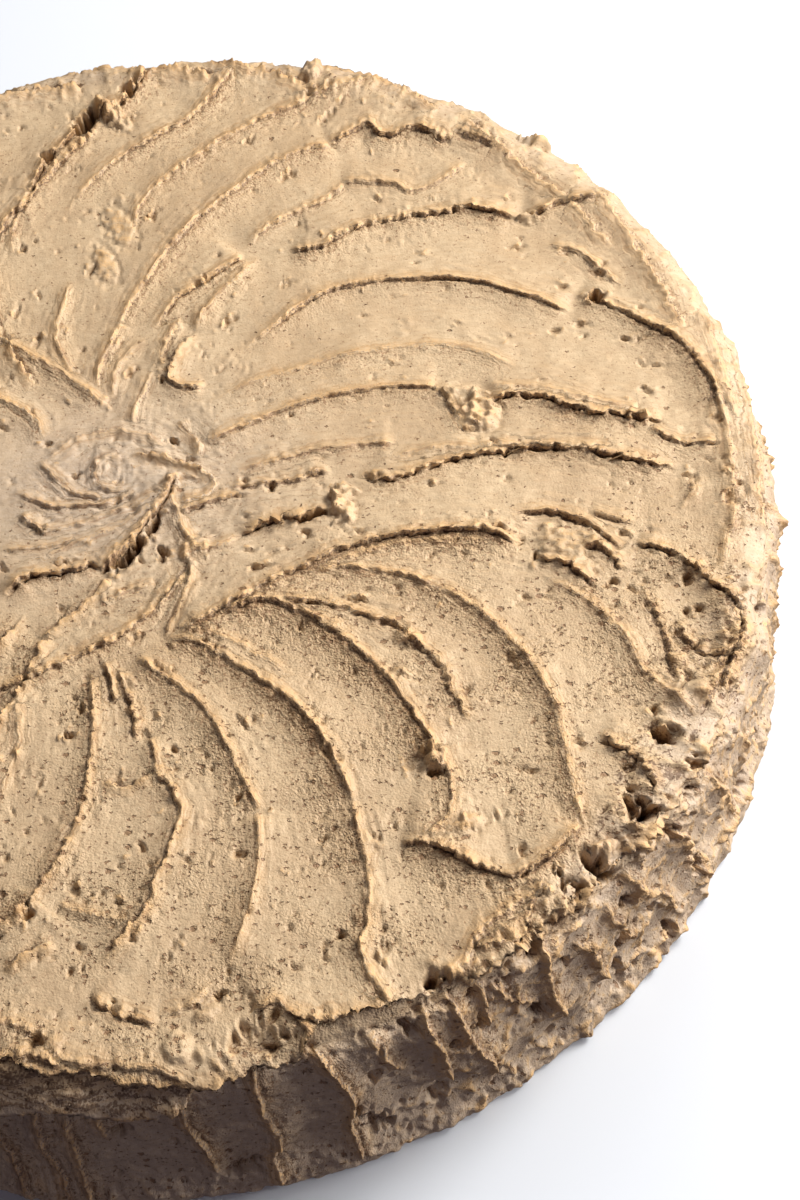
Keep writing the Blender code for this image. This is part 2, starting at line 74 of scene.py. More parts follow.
# Ridges left by the spatula on the top. Each is a wave of frosting: its height, how far it falls away on its right
# and on its left, depth of the crevice at its foot on the right, raggedness, how far its lip leans over, lengths of
# its soft ends, and a few points it runs through.
RIDGES = [
    # back left and back
    (2.8, 3.0, 6.0, 1.6, 1.0, 0.7, 6, 6, (-25, 80), (-19, 92), (-10, 102), (-1, 109), (5, 118)),
    (0.7, 2.0, 4.0, 0.1, 0.4, 0.0, 5, 5, (-26, 66), (-26, 73), (-24, 82)),
    (2.1, 3.4, 7.0, 0.5, 0.6, 0.4, 25, 5, (-17, 72), (-11, 83), (-2, 92), (12, 101), (22, 113)),
    (1.7, 3.0, 7.0, 0.3, 0.6, 0.3, 14, 8, (-3, 64), (2, 79), (14, 90), (27, 98), (40, 102.5), (54, 106)),
    (2.0, 3.5, 8.0, 0.4, 0.4, 0.3, 10, 4, (-6, 41), (-2, 50), (7, 65), (17, 75.5), (30, 85.5), (42, 89)),
    (2.0, 2.5, 5.0, 0.9, 1.0, 0.6, 4, 4, (40, 88.5), (49, 94), (53, 90), (60, 90.5), (67, 85.5)),
    (1.7, 2.0, 5.0, 0.7, 0.6, 0.5, 3, 8, (66, 89), (72, 84.5), (79, 81)),
    (2.2, 3.0, 6.0, 1.2, 0.3, 0.8, 6, 2, (2, 42), (7, 50), (13, 54), (21, 60)),
    (1.4, 2.2, 2.2, 0.0, 0.5, 0.0, 4, 8, (11, 41), (13, 46), (18, 51.5), (25, 60)),
    (1.1, 1.8, 5.0, 0.4, 0.6, 0.3, 8, 3, (21, 62), (28, 68.5), (33, 70.5), (39, 73.5), (43.5, 78)),
    (1.0, 1.6, 4.0, 0.3, 0.3, 0.2, 2, 4, (43, 78.3), (52, 76.5), (57, 73.5), (62, 75), (69, 80)),
    (2.4, 3.0, 7.0, 1.2, 1.0, 0.7, 4, 5, (31, 61), (36, 60), (44, 64.5), (56, 66.5), (70, 66.8), (79, 63.5)),
    (2.1, 2.5, 5.0, 1.0, 1.0, 0.5, 3, 4, (80, 64), (87, 65.5), (95, 65)),
    (1.7, 2.6, 7.0, 0.6, 0.2, 0.6, 16, 4, (18, 33), (28, 42), (38, 48.5), (52, 50), (66, 48), (76, 43.5), (86, 37.5)),
    (2.0, 3.0, 5.0, 0.9, 0.5, 0.7, 3, 10, (88, 41), (93, 38.5), (101, 32), (107, 25), (110.5, 15), (111.5, 4)),
    (0.9, 1.6, 3.0, 0.3, 0.7, 0.1, 3, 3, (83, 55), (88, 53.5), (92, 49), (97, 42)),
    # right
    (1.0, 5.0, 5.0, 0.0, 0.2, 0.0, 12, 6, (12, 22), (25, 27.5), (42, 31.2), (57, 32), (66, 29.5), (74, 24)),
    (1.4, 3.0, 7.0, 0.4, 0.15, 0.5, 6, 2, (10, 12), (22, 17), (32, 20.5), (45, 22.3), (58, 21.5)),
    (1.8, 2.2, 4.0, 0.6, 1.0, 0.3, 2, 2, (58, 22), (60.5, 16), (63, 9)),
    (0.8, 2.0, 5.0, 0.3, 0.6, 0.1, 5, 3, (17, 4.5), (26, 7), (35, 8.5), (49, 8.3)),
    (0.8, 1.5, 4.0, 0.8, 0.9, 0.2, 3, 3, (16, 1.5), (26, 1.8), (36, 3.2)),
    (2.6, 2.6, 6.0, 2.0, 1.0, 1.1, 3, 4, (67, 17), (74, 17.5), (79, 16), (85, 12.5), (93, 10.2), (101, 7.8)),
    (0.7, 1.4, 4.0, 0.0, 0.3, 0.0, 4, 4, (68, 20.5), (78, 18.5), (88, 14), (98, 10.5)),
    (1.5, 2.0, 5.0, 1.1, 0.9, 0.5, 4, 2, (97, 6.5), (103, 2.5), (110, 1.5)),
    (2.1, 2.2, 6.0, 1.8, 1.0, 1.0, 8, 6, (40, 1.5), (47, 0.2), (58, 3), (68, 4.3), (78, 4), (90, 0.8), (102, -4)),
    (0.6, 1.3, 4.0, 0.0, 0.3, 0.0, 5, 6, (47, 5), (60, 6), (74, 5.2), (92, 2.5)),
    (0.9, 1.4, 3.0, 0.5, 1.0, 0.1, 2, 4, (104, -6), (103.5, -10), (101, -14)),
    (2.6, 1.2, 6.0, 2.0, 0.8, 1.8, 5, 1.5, (17, -10), (21, -8), (28, -6.3), (34.5, -5.5)),
    (1.1, 2.0, 4.0, 0.5, 1.0, 0.2, 2, 4, (6, -14), (12, -12.5), (18, -10)),
    (1.1, 1.4, 4.0, 0.9, 0.5, 0.4, 4, 4, (69, -10.3), (77, -11.2), (84, -15), (90, -22)),
    (2.0, 1.6, 4.0, 1.3, 1.0, 0.7, 2, 3, (73.5, -21), (79, -24), (83, -29.5)),
    (2.0, 1.8, 4.0, 1.5, 1.0, 0.7, 2, 3, (82, -19.5), (86, -21), (89.5, -26)),
    (2.4, 2.4, 4.0, 1.8, 1.0, 1.0, 3, 8, (92, -20), (98, -22.5), (102, -27), (106, -33), (108.3, -40), (105, -48), (101, -56)),
    (1.1, 2.0, 3.0, 0.9, 1.0, 0.2, 3, 4, (92, -31), (94, -39), (94.8, -46), (94.6, -53)),
    (1.1, 1.4, 2.0, 1.0, 1.0, 0.3, 2, 2, (97, -38.5), (98.7, -43.5), (103, -46), (107, -43)),
    (1.3, 3.0, 5.0, 0.1, 0.4, 0.1, 8, 5, (73, -25), (80, -31), (86, -39), (90, -49), (97, -59)),
    (2.4, 1.6, 3.0, 2.2, 0.9, 1.3, 2, 2, (80, -61.5), (84, -63.5), (87, -68.5), (87.5, -73)),
    (0.6, 1.2, 3.0, 0.5, 0.5, 0.1, 2, 2, (84, -12), (88, -13.5), (92, -15.5)),
    # front
    (3.2, 4.0, 9.0, 0.7, 0.7, 0.6, 8, 5, (3, -31), (10, -28.3), (22, -22), (34, -16.7), (44, -14.3), (56, -13.5), (65, -14.8), (71, -18.5)),
    (0.8, 1.0, 2.0, 0.0, 0.6, 0.0, 6, 6, (30, -21), (42, -16.8), (56, -16), (66, -18)),
    (3.0, 4.5, 7.0, 0.6, 0.6, 0.4, 4, 5, (13, -28), (20, -25.6), (28, -28.3), (36, -35.5), (44, -46), (49, -56), (52, -63)),
    (1.7, 2.2, 4.0, 0.7, 1.0, 0.4, 5, 4, (24, -25), (34, -28), (44, -32.5), (50, -38.5), (54, -46), (57, -56)),
    (1.9, 4.0, 7.0, 0.1, 0.5, 0.2, 12, 4, (26, -20.5), (38, -20.3), (50, -24), (60, -31), (68, -42), (72.5, -53), (74, -66), (74.5, -79)),
    (3.4, 2.6, 8.0, 1.0, 0.7, 0.9, 3, 5, (43, -78.5), (50, -80.5), (57, -85), (62, -86.8), (68, -83.5), (75, -77.5)),
    (1.9, 2.6, 4.0, 0.3, 0.4, 0.2, 2, 3, (51.5, -60), (53, -68), (52, -74.5), (47, -79)),
    (2.9, 4.2, 7.0, 0.4, 0.5, 0.3, 5, 4, (3, -31.5), (10, -34.3), (19, -41.5), (27, -50), (32.5, -60), (35.5, -70)),
    (1.8, 3.0, 5.0, 0.3, 0.6, 0.2, 5, 5, (35, -69), (36.8, -80), (36.8, -92), (35, -99), (37, -105), (41, -109)),
    (0.7, 1.0, 2.0, 0.0, 0.5, 0.0, 4, 6, (5, -30.4), (12, -32.2), (20, -37.5), (27, -43.5)),
    (1.8, 3.6, 6.0, 0.2, 0.3, 0.2, 5, 3, (-3, -35), (5, -42), (11, -50), (16, -62), (19, -70)),
    (1.0, 2.2, 5.0, 0.0, 0.3, 0.1, 3, 5, (18.5, -70), (18, -80), (15.5, -91), (12, -99)),
    (1.2, 1.2, 1.6, 1.2, 0.8, 0.2, 2, 2, (-8.5, -36), (-6.8, -40), (-6, -45)),
    (1.0, 1.2, 1.6, 0.9, 0.8, 0.2, 2, 2, (-5.5, -38), (-3.5, -44), (-2.6, -49), (-3, -53)),
    (0.9, 1.2, 3.0, 0.9, 0.9, 0.3, 1, 1, (0, -60), (-4, -63), (-9, -61.5)),
    (1.5, 2.0, 4.0, 0.6, 0.7, 0.3, 4, 6, (0.5, -52), (1.5, -60), (5, -67), (4.3, -73), (1, -81), (-2, -88), (-10, -97)),
    (1.3, 2.0, 4.0, 0.3, 0.8, 0.2, 6, 3, (-11, -36), (-10.3, -46), (-10.8, -57), (-13, -68), (-19, -80), (-22, -85)),
    (2.8, 3.0, 6.0, 1.0, 0.7, 0.7, 2, 8, (-20, -83), (-24, -86.5), (-32, -89), (-42, -88)),
    (0.6, 2.0, 4.0, 0.0, 0.6, 0.0, 6, 6, (-24, -40), (-24, -52), (-28, -65)),
    (1.6, 2.0, 3.0, 0.8, 0.8, 0.4, 1, 2, (-17.5, -92.5), (-21, -93.5), (-26, -96.5)),
    (0.7, 1.5, 4.0, 0.0, 0.5, 0.0, 3, 3, (-17, -84), (-11, -87.5), (-3, -89)),
    (1.5, 2.4, 6.0, 0.3, 0.5, 0.3, 3, 3, (46, -106), (50, -102.5), (54, -96.5), (62, -91.5), (68, -89)),
    (1.2, 1.4, 3.0, 1.2, 0.8, 0.4, 2, 3, (-11, -102), (-7, -105.5), (0, -109)),
    (0.7, 1.2, 3.0, 0.5, 0.5, 0.1, 3, 2, (0, -106.5), (5, -105.7), (9, -102.5)),
    # middle
    (1.5, 3.0, 3.5, 0.0, 0.4, 0.1, 6, 4, (-52, 58), (-37, 49), (-26, 42), (-16, 33), (-7, 24.5)),
    (1.3, 3.0, 3.5, 0.0, 0.4, 0.1, 6, 4, (-50, 38), (-37, 33), (-28, 28), (-22, 23.5), (-19, 17)),
    (1.2, 2.0, 2.0, 0.0, 0.4, 0.0, 4, 4, (-12.5, 31.5), (-15.5, 37), (-17, 45), (-14, 57)),
    (1.5, 2.2, 3.0, 0.4, 0.4, 0.2, 3, 6, (-9, 28.5), (-8.5, 34), (-5.5, 41.5), (-3, 47)),
    (0.6, 1.4, 1.6, 0.0, 0.4, 0.0, 3, 4, (-6, 26), (-4.5, 34), (1, 41)),
    (0.9, 1.4, 2.5, 0.5, 0.7, 0.2, 3, 3, (3, 33), (5, 39), (8, 45)),
    (1.9, 1.8, 1.8, 0.8, 0.5, 0.5, 6, 1.5, (11, 41), (7.5, 35), (5.8, 30), (8, 27.2), (12, 26.8)),
    (0.6, 1.2, 2.0, 0.4, 0.5, 0.0, 2, 3, (-2, 19), (-1, 24), (2, 32)),
    (0.5, 1.6, 2.0, 0.1, 0.7, 0.1, 5, 4, (4.5, 11.5), (1, 15.5), (-5, 17.5), (-13, 16.5), (-19, 12)),
    (0.4, 1.4, 1.8, 0.1, 0.7, 0.1, 4, 4, (-3, 10.5), (-8, 11), (-9.5, 7), (-7, 3.5), (-2, 2.5)),
    (0.9, 1.5, 2.5, 0.5, 0.5, 0.2, 4, 5, (-25, 5), (-19, 1.3), (-12, 0.2), (-6, 0.6), (-1, 2.2)),
    (0.7, 1.3, 2.0, 0.3, 0.5, 0.1, 3, 3, (-20, 12), (-17, 7), (-13, 3.5), (-7, 1.5)),
    (0.9, 1.2, 1.4, 0.6, 0.8, 0.3, 2, 2, (11, 9), (10.5, 13), (7, 18.5)),
    (1.3, 1.1, 1.3, 1.0, 0.8, 0.5, 2, 2, (13.2, 2.8), (10, 5.8), (5, 8.8), (-2, 11)),
    (1.3, 1.4, 1.6, 0.2, 0.4, 0.4, 2, 3, (6.5, -1), (11, -0.2), (13.3, 2.2), (12, 5)),
    (1.4, 1.6, 4.0, 0.9, 0.7, 0.4, 2, 4, (6.5, -3.6), (11, -1.9), (20, -0.2)),
    (3.4, 1.5, 5.0, 2.6, 0.5, 1.0, 2, 3, (-9, -15), (-4, -10), (0, -4), (3.5, 1), (6.3, 5.6)),
    (1.5, 1.6, 1.4, 0.0, 0.4, 0.2, 2, 3, (4.5, 3.5), (6, -3), (7.5, -8), (10, -11)),
    (2.4, 2.0, 5.0, 1.4, 0.8, 0.9, 4, 3, (-27, -19), (-23, -15.2), (-16, -14.3), (-8, -13.2)),
    (1.4, 2.0, 5.0, 0.4, 0.4, 0.2, 3, 4, (-7, -17), (-9.5, -21), (-15, -26), (-21, -30.5)),
    (2.0, 2.4, 6.0, 0.6, 0.9, 0.4, 10, 3, (-46, -46), (-28, -40), (-14, -34.3), (-4, -29.5), (2, -24.5), (7, -17)),
    (1.2, 1.4, 1.6, 0.8, 0.3, 0.3, 2, 2, (8.5, -16), (5.5, -21), (1, -26.5)),
    (1.0, 1.2, 1.2, 0.3, 0.3, 0.1, 2, 2, (8.8, -16.5), (7, -23), (4, -29), (3, -31.5)),
    (0.6, 1.0, 1.4, 0.2, 0.4, 0.0, 3, 3, (-28, -8.3), (-20, -8.8), (-12, -7.8)),
    (0.5, 1.0, 2.0, 0.1, 0.3, 0.0, 4, 4, (-24, -5), (-12, -3.8), (-2, -0.8), (4, 3)),
    (0.5, 1.0, 2.0, 0.1, 0.3, 0.0, 4, 4, (-20, -11), (-10, -7.5), (-3, -4.5), (2, 0.5)),
    (0.9, 1.2, 1.8, 0.7, 0.8, 0.1, 2, 2, (-24, -0.5), (-21.5, -3), (-18.5, -5.5)),
    (0.8, 1.4, 3.0, 0.2, 0.9, 0.0, 3, 3, (-9, -23.5), (-4, -21), (2, -19)),
]
# Holes and torn hollows in the top: middle, half sizes, turn in degrees, depth.
HOLES = [
    (-10.5, 101, 2.2, 5.5, -30, 5.5), (-19, 91.5, 1.5, 3.2, -25, 2.5), (-1, 109, 1.6, 2.6, -30, 3), (91.5, 39.8, 2.4, 1.7, -20, 4.5),
    (31, -7.4, 4.4, 1.5, 8, 2.6), (3.2, -12.6, 1.1, 2.0, 20, 2.2), (-3.2, -12.2, 1.7, 6.6, -34, 4.6), (1.5, -6, 1.1, 3.6, -25, 3.2),
    (5.8, 13.6, 1.7, 0.8, -15, 1.8), (8.5, 8.7, 1.8, 0.7, 0, 1.5), (-13.2, 7.6, 1.3, 0.8, 20, 1.5), (-5.2, 4.8, 0.8, 0.6, 20, 1.1),
    (4, 29.3, 0.9, 1.7, 10, 1.8), (-18.8, 15.8, 1.0, 0.8, 0, 1.0), (24, 0, 1.0, 1.0, 0, 1.6), (13.5, 54, 2.4, 1.1, 28, 1.6),
    (89.8, -30.6, 1.0, 0.8, 0, 1.2), (72.8, -21.5, 0.7, 1.9, -15, 2.4), (86, -28.7, 1.7, 1.0, 15, 1.4), (100.8, -36, 1.5, 1.0, -40, 2.0),
    (85, -77, 4.2, 1.7, 5, 2.4), (79, -88.5, 2.6, 2.3, 0, 4.4), (75, -86.3, 1.6, 1.2, 0, 2.4), (50, -65.5, 1.6, 1.3, 0, 2.6),
    (47.5, -62, 2.6, 4.0, -20, 0.9), (-22, -86.8, 1.8, 1.3, 20, 2.4), (-7.5, -105, 1.6, 1.0, -20, 1.6), (11, -104.2, 1.6, 1.0, -20, 1.8),
    (15.6, -66.6, 0.7, 1.9, -15, 1.5), (4, -55.7, 1.1, 0.8, 0, 1.5), (-12.3, -46, 0.9, 1.3, -10, 1.6), (-14.6, -51, 1.2, 1.2, 0, 1.6),
    (39, -77.8, 0.8, 1.3, 35, 1.6), (42, -75.5, 0.6, 1.1, 20, 1.2), (91.5, -62, 2.6, 2.2, 0, 1.8), (90, -57, 1.1, 2.2, 0, 1.6),
    (69, -88.5, 0.9, 2.6, -10, 2.4), (72, -91, 0.9, 3.0, 0, 2.6), (95, -67.5, 1.8, 2.0, 0, 1.8), (82.5, 32.5, 1.2, 0.8, 0, 1.0),
    (87, 52.3, 1.8, 0.8, -20, 1.4), (93.5, 48.6, 1.2, 1.0, 0, 1.2), (-9.5, 60.5, 0.9, 1.6, 20, 1.5), (-24, 67.5, 1.0, 1.3, 0, 1.3),
]
# Lumps of frosting on the top: middle, half sizes, turn in degrees, height, roughness.
LUMPS = [
    (65.5, 14.0, 4.0, 5.0, 10, 1.6, 0.9), (63, 18.5, 4.4, 2.6, 0, 1.2, 0.3), (37.6, -7.0, 2.2, 4.4, 6, 1.8, 0.9), (38, -2.5, 3.0, 2.0, 0, 1.6, 0.6),
    (50, -62.5, 2.0, 3.4, 12, 1.8, 0.9), (47.5, -37, 3.0, 2.2, -30, 1.3, 1.0), (46, -44.8, 2.4, 1.2, 0, 0.8, 1.0),
    (-5, 103, 2.2, 6.0, 40, 2.2, 0.7), (-7, 61, 2.2, 5.5, 15, 0.35, 1.0), (-4, 71, 2.8, 6.0, 25, 0.35, 1.0), (80.5, 62.6, 2.2, 1.4, 0, 1.3, 0.5),
    (96, 9.5, 2.2, 1.6, 0, 1.4, 1.0), (102, -27.2, 1.8, 1.3, 0, 1.5, 1.0), (55, -76.5, 3.2, 1.6, 20, 0.9, 1.0), (80, -18.5, 9, 3.6, -20, 0.7, 0.7),
    (83, 83.5, 3.4, 2.6, -30, 1.6, 0.8), (87, -83, 7.5, 4.0, -25, 1.8, 0.8), (77, -83, 2.6, 2.4, 0, 1.6, 0.6), (3, -112, 3.0, 2.6, 0, 0.9, 0.4),
    (8, -107.5, 3.0, 1.2, 20, 0.8, 0.5), (64, -98.5, 4.0, 3.0, 35, 1.6, 0.9), (-15, -108, 6.0, 1.8, 0, 0.3, 0.5), (37.5, 109, 2.4, 3.2, 0, 1.8, 0.6),
    (8, -12, 5.0, 2.0, 20, 0.7, 1.0), (-2, 8, 9, 8, 0, 0.5, 0.3), (5.5, 4.2, 1.6, 2.4, -30, 1.2, 0.3), (8.3, -16, 1.0, 1.6, 0, 1.0, 0.4),
]
# Frosting pushed over the edge: the same fields as RIDGES, its points given as angle in degrees and s.
RIM = [
    (0.8, 3.0, 5.0, 0.3, 0.3, 0.5, 8, 4, (246, 110.4), (254, 108.4), (259, 108.9), (263, 112.9), (269, 114.4), (273, 117.4), (277.5, 117.9)),
    (1.4, 2.5, 3.0, 0.8, 0.9, 0.8, 3, 3, (257, 111.4), (260, 112.4), (262.5, 113.9)),
    (1.8, 2.6, 5.0, 0.6, 0.5, 0.8, 2, 4, (278.3, 108.4), (280.5, 107.9), (283, 111.4), (287, 113), (291, 114.9)),
    (1.6, 1.4, 3.0, 1.0, 0.8, 0.6, 2, 2, (281.8, 110.4), (282.6, 113.4), (281.5, 116.9)),
    (1.6, 1.8, 4.0, 2.2, 0.9, 1.1, 2, 2, (295.5, 116.9), (299, 117.4), (303.3, 115.9)),
    (1.3, 1.6, 3.0, 1.0, 1.0, 0.6, 2, 3, (298, 111.4), (301, 113.9), (304, 112.4), (307, 109.9)),
    (1.4, 1.8, 3.0, 1.2, 1.0, 0.8, 2, 3, (304.5, 116.9), (308, 118.4), (310, 114.4)),
    (1.5, 1.8, 3.0, 1.2, 1.0, 0.8, 2, 3, (313.5, 115.4), (317, 117.4), (320, 119.4)),
    (1.2, 1.8, 3.0, 0.8, 1.0, 0.6, 2, 3, (320, 117.9), (325, 118.4), (330, 119.4)),
    (1.0, 1.2, 2.0, 0.9, 0.8, 0.2, 3, 3, (329, 112.9), (335, 113.4), (340, 113.9), (343, 111.9)),
    (0.8, 1.2, 2.0, 0.1, 0.4, 0.1, 6, 6, (344, 109.4), (352, 110.9), (0, 111.2), (8, 111.4)),
    (1.0, 1.5, 2.4, 0.3, 0.5, 0.3, 6, 6, (350, 116.4), (358, 115.4), (6, 117.4), (12, 119.4)),
    (0.8, 1.2, 2.0, 0.1, 0.4, 0.1, 6, 6, (2, 113.4), (10, 113.9), (18, 115.9)),
    (1.0, 1.4, 3.0, 0.3, 0.6, 0.4, 6, 6, (14, 110.4), (22, 110.9), (30, 112.4), (37, 115.4)),
    (0.9, 1.4, 3.0, 0.3, 0.6, 0.4, 6, 6, (28, 108.4), (36, 109.4), (46, 110.4), (54, 114.4)),
]
# Ridges between the upright dabs on the side, in front: height, fall on the right and left, raggedness, and points
# given as angle in degrees and s.
DABS = [
    (1.8, 2.0, 3.0, 0.6, (254.5, 136), (255.8, 148), (256.6, 166)), (1.2, 2.0, 2.5, 0.6, (259.4, 128), (259, 146), (260, 166)),
    (1.6, 1.8, 2.6, 0.6, (261.8, 130), (261.4, 147), (261.9, 166)), (1.2, 1.8, 2.0, 0.6, (264, 128), (264.4, 142)),
    (2.2, 2.2, 3.2, 0.5, (270.9, 122), (271.3, 135), (272.3, 146), (272.7, 156)), (1.9, 2.2, 3.0, 0.6, (277.2, 120), (277.6, 133), (278.1, 145), (277.4, 153), (277.9, 166)),
    (2.4, 2.0, 3.0, 0.5, (282.3, 118), (283.7, 127), (284.8, 137), (284.2, 147), (284.8, 163)), (1.7, 1.8, 2.6, 0.8, (287.2, 119), (288.2, 129), (289.9, 138)),
    (1.9, 1.8, 2.6, 0.5, (291.9, 118), (292.7, 134), (293.7, 149)), (2.7, 1.8, 3.2, 0.5, (294.2, 117), (294.8, 128), (296.1, 140), (297.4, 150), (296.8, 158)),
    (1.6, 1.2, 1.6, 0.6, (296.8, 118), (297.2, 130), (297.7, 137)), (1.5, 1.6, 2.4, 0.9, (298, 121), (300.2, 131), (303, 141)),
    (2.0, 1.8, 3.0, 0.6, (303, 119), (303.6, 135), (304.9, 153)), (2.0, 2.0, 2.6, 0.6, (306.4, 126), (308.5, 138), (309.8, 151)),
    (1.8, 2.0, 2.6, 0.9, (310.2, 126), (312.3, 138), (314.4, 149)), (1.6, 1.8, 2.6, 0.9, (313, 121), (314.6, 131), (317.8, 143), (319.5, 156)),
    (1.6, 1.8, 2.6, 0.9, (318.5, 120), (320.6, 131), (322.5, 142)), (1.5, 1.8, 2.6, 0.9, (321.8, 142), (324, 152), (326, 162)),
    (1.6, 1.8, 2.6, 0.9, (324.5, 120), (327.5, 134), (330, 148), (331, 160)),
]
# How far the side is daubed in small cups: angles, and the share at each.
DABBED = ([0, 60, 246, 256, 270, 284, 292, 298, 345, 360], [0.8, 0.7, 0.6, 0.25, 0.15, 0.25, 0.6, 1.0, 1.0, 0.8])
# Holes in the rim and side: angle, s, half size across and down, depth.
SIDE_HOLES = [
    (293.9, 114.4, 2.2, 2.6, 4.5), (302.4, 119.4, 2.2, 3.0, 4.5), (311.5, 114.9, 2.6, 3.6, 4.5), (318, 113.4, 2.2, 3.0, 3.5), (325.5, 109.4, 1.6, 2.2, 3),
    (278.6, 112.4, 6.0, 3.5, 1.9), (259.9, 110.2, 2.0, 1.3, 2.2), (344, 104.4, 2.5, 1.2, 2.0), (340, 104.9, 1.4, 1, 1.6), (265.4, 137, 1.8, 2.6, 2.2),
    (284.9, 142, 1.5, 2.4, 2.8), (274.6, 155.5, 4.0, 3.4, 2.4), (286.6, 152, 2.6, 4.5, 2.4), (292.2, 152, 2.2, 3.0, 2.0), (312, 142, 2.4, 4.5, 3.2),
    (311.5, 151, 1.8, 2.6, 2.6), (319, 123.4, 1.4, 3.0, 2.4), (323.3, 150, 1.2, 4.4, 2.4), (303.5, 155, 1.2, 2.6, 1.8), (311.8, 156, 1.1, 2.6, 1.8),
    (287, 133, 1.6, 2.4, 1.8), (290.5, 122.4, 1.6, 3.0, 1.8), (299.3, 124.4, 1.4, 3.4, 2.2), (269.8, 142, 1.0, 1.6, 1.4), (296.5, 133, 1.2, 5.0, 1.8),
]

# ------------------------------------------------------------------------------------------------ noise
_dice = np.random.default_rng(5).permutation(4096)
_gx, _gy = np.cos(_dice * (2 * pi / 4096)), np.sin(_dice * (2 * pi / 4096))


def _cell(ix, iy, seed):
    return _dice[(ix + _dice[(iy + seed * 131) & 4095]) & 4095]


def noise(x, y, seed, wrap=0):
    """Gradient noise of about -1 to 1; wrap is the number of cells after which it repeats along x."""
    ix, iy = np.floor(x).astype(np.int64), np.floor(y).astype(np.int64)
    fx, fy = x - ix, y - iy
    u = fx * fx * fx * (fx * (fx * 6 - 15) + 10)
    v = fy * fy * fy * (fy * (fy * 6 - 15) + 10)
    ix1 = ix + 1
    if wrap:
        ix, ix1 = ix % wrap, ix1 % wrap
    k = _cell(ix, iy, seed); a = _gx[k] * fx + _gy[k] * fy
    k = _cell(ix1, iy, seed); b = _gx[k] * (fx - 1) + _gy[k] * fy
    k = _cell(ix, iy + 1, seed); c = _gx[k] * fx + _gy[k] * (fy - 1)
    k = _cell(ix1, iy + 1, seed); d = _gx[k] * (fx - 1) + _gy[k] * (fy - 1)
    lo, hi = a + u * (b - a), c + u * (d - c)
    return 1.5 * (lo + v * (hi - lo))


def fbm(x, y, seed, octaves=3, gain=0.5):
    total, amp, norm = 0.0, 1.0, 0.0
    for k in range(octaves):
        total = total + amp * noise(x * 2.03**k, y * 2.03**k, seed + 17 * k)
        norm += amp
        amp *= gain
    return total / norm


def side_noise(a, s, size, seed, tall=1.0):
    """Noise round the side: a is the distance round it, size the width of a feature, tall its height over its width."""
    n = max(1, round(ROUND / size))
    return noise(a / ROUND * n, s / (size * tall), seed, n)


def spots(x, y, cell, seed, share, small, large, wrap=0, long=1.0, lie=None):
    """Spots on a jittered grid: 0 outside a spot, up to its radius at its middle. long is length over width, and lie
    the direction of the length as (cosine, sine); without it they are turned every way."""
    gx, gy = x / cell, y / cell
    ix, iy = np.floor(gx).astype(np.int64), np.floor(gy).astype(np.int64)
    best = np.zeros_like(gx)
    for i in (-1, 0, 1):
        for j in (-1, 0, 1):
            a, b = ix + i, iy + j
            aw = a % wrap if wrap else a
            k = _cell(aw, b, seed) / 4096.0
            px = (a + _cell(aw, b, seed + 1) / 4096.0) * cell
            py = (b + _cell(aw, b, seed + 2) / 4096.0) * cell
            size = small + (large - small) * (_cell(aw, b, seed + 3) / 4096.0) ** 2
            turn = _cell(aw, b, seed + 4)
            c, t = (_gx[turn], _gy[turn]) if lie is None else lie
            dx, dy = x - px, y - py
            p, q = dx * c + dy * t, dx * t - dy * c
            d2 = (p * p / (long * long) + q * q) / (size * size)
            np.maximum(best, np.where((k < share) & (d2 < 1), (1 - d2) * size, 0.0), out=best)
    return best


def cups(x, y, cells, tall, seed):
    """Shallow cups that meet in sharp edges, round the side: the square of the distance to the nearest middle, 0 to
    about 1, then 1 on the edges between them, then 1 in a wider band round those."""
    wide = ROUND / cells
    gx, gy = x / wide, y / (wide * tall)
    ix, iy = np.floor(gx).astype(np.int64), np.floor(gy).astype(np.int64)
    first, second = np.full_like(gx, 9.0), np.full_like(gx, 9.0)
    for i in (-1, 0, 1):
        for j in (-1, 0, 1):
            a, b = ix + i, iy + j
            px = a + _cell(a % cells, b, seed) / 4096.0
            py = b + _cell(a % cells, b, seed + 1) / 4096.0
            d = (gx - px) ** 2 + (gy - py) ** 2
            second = np.minimum(second, np.maximum(first, d))
            first = np.minimum(first, d)
    gap = np.sqrt(second) - np.sqrt(first)
    return 0.60 * np.tanh(first / 0.60), np.exp(-gap / 0.09), 1 - ramp(gap, 0.04, 0.30)


def ramp(x, lo, hi):
    t = np.clip((x - lo) / (hi - lo), 0.0, 1.0)
    return t * t * (3.0 - 2.0 * t)


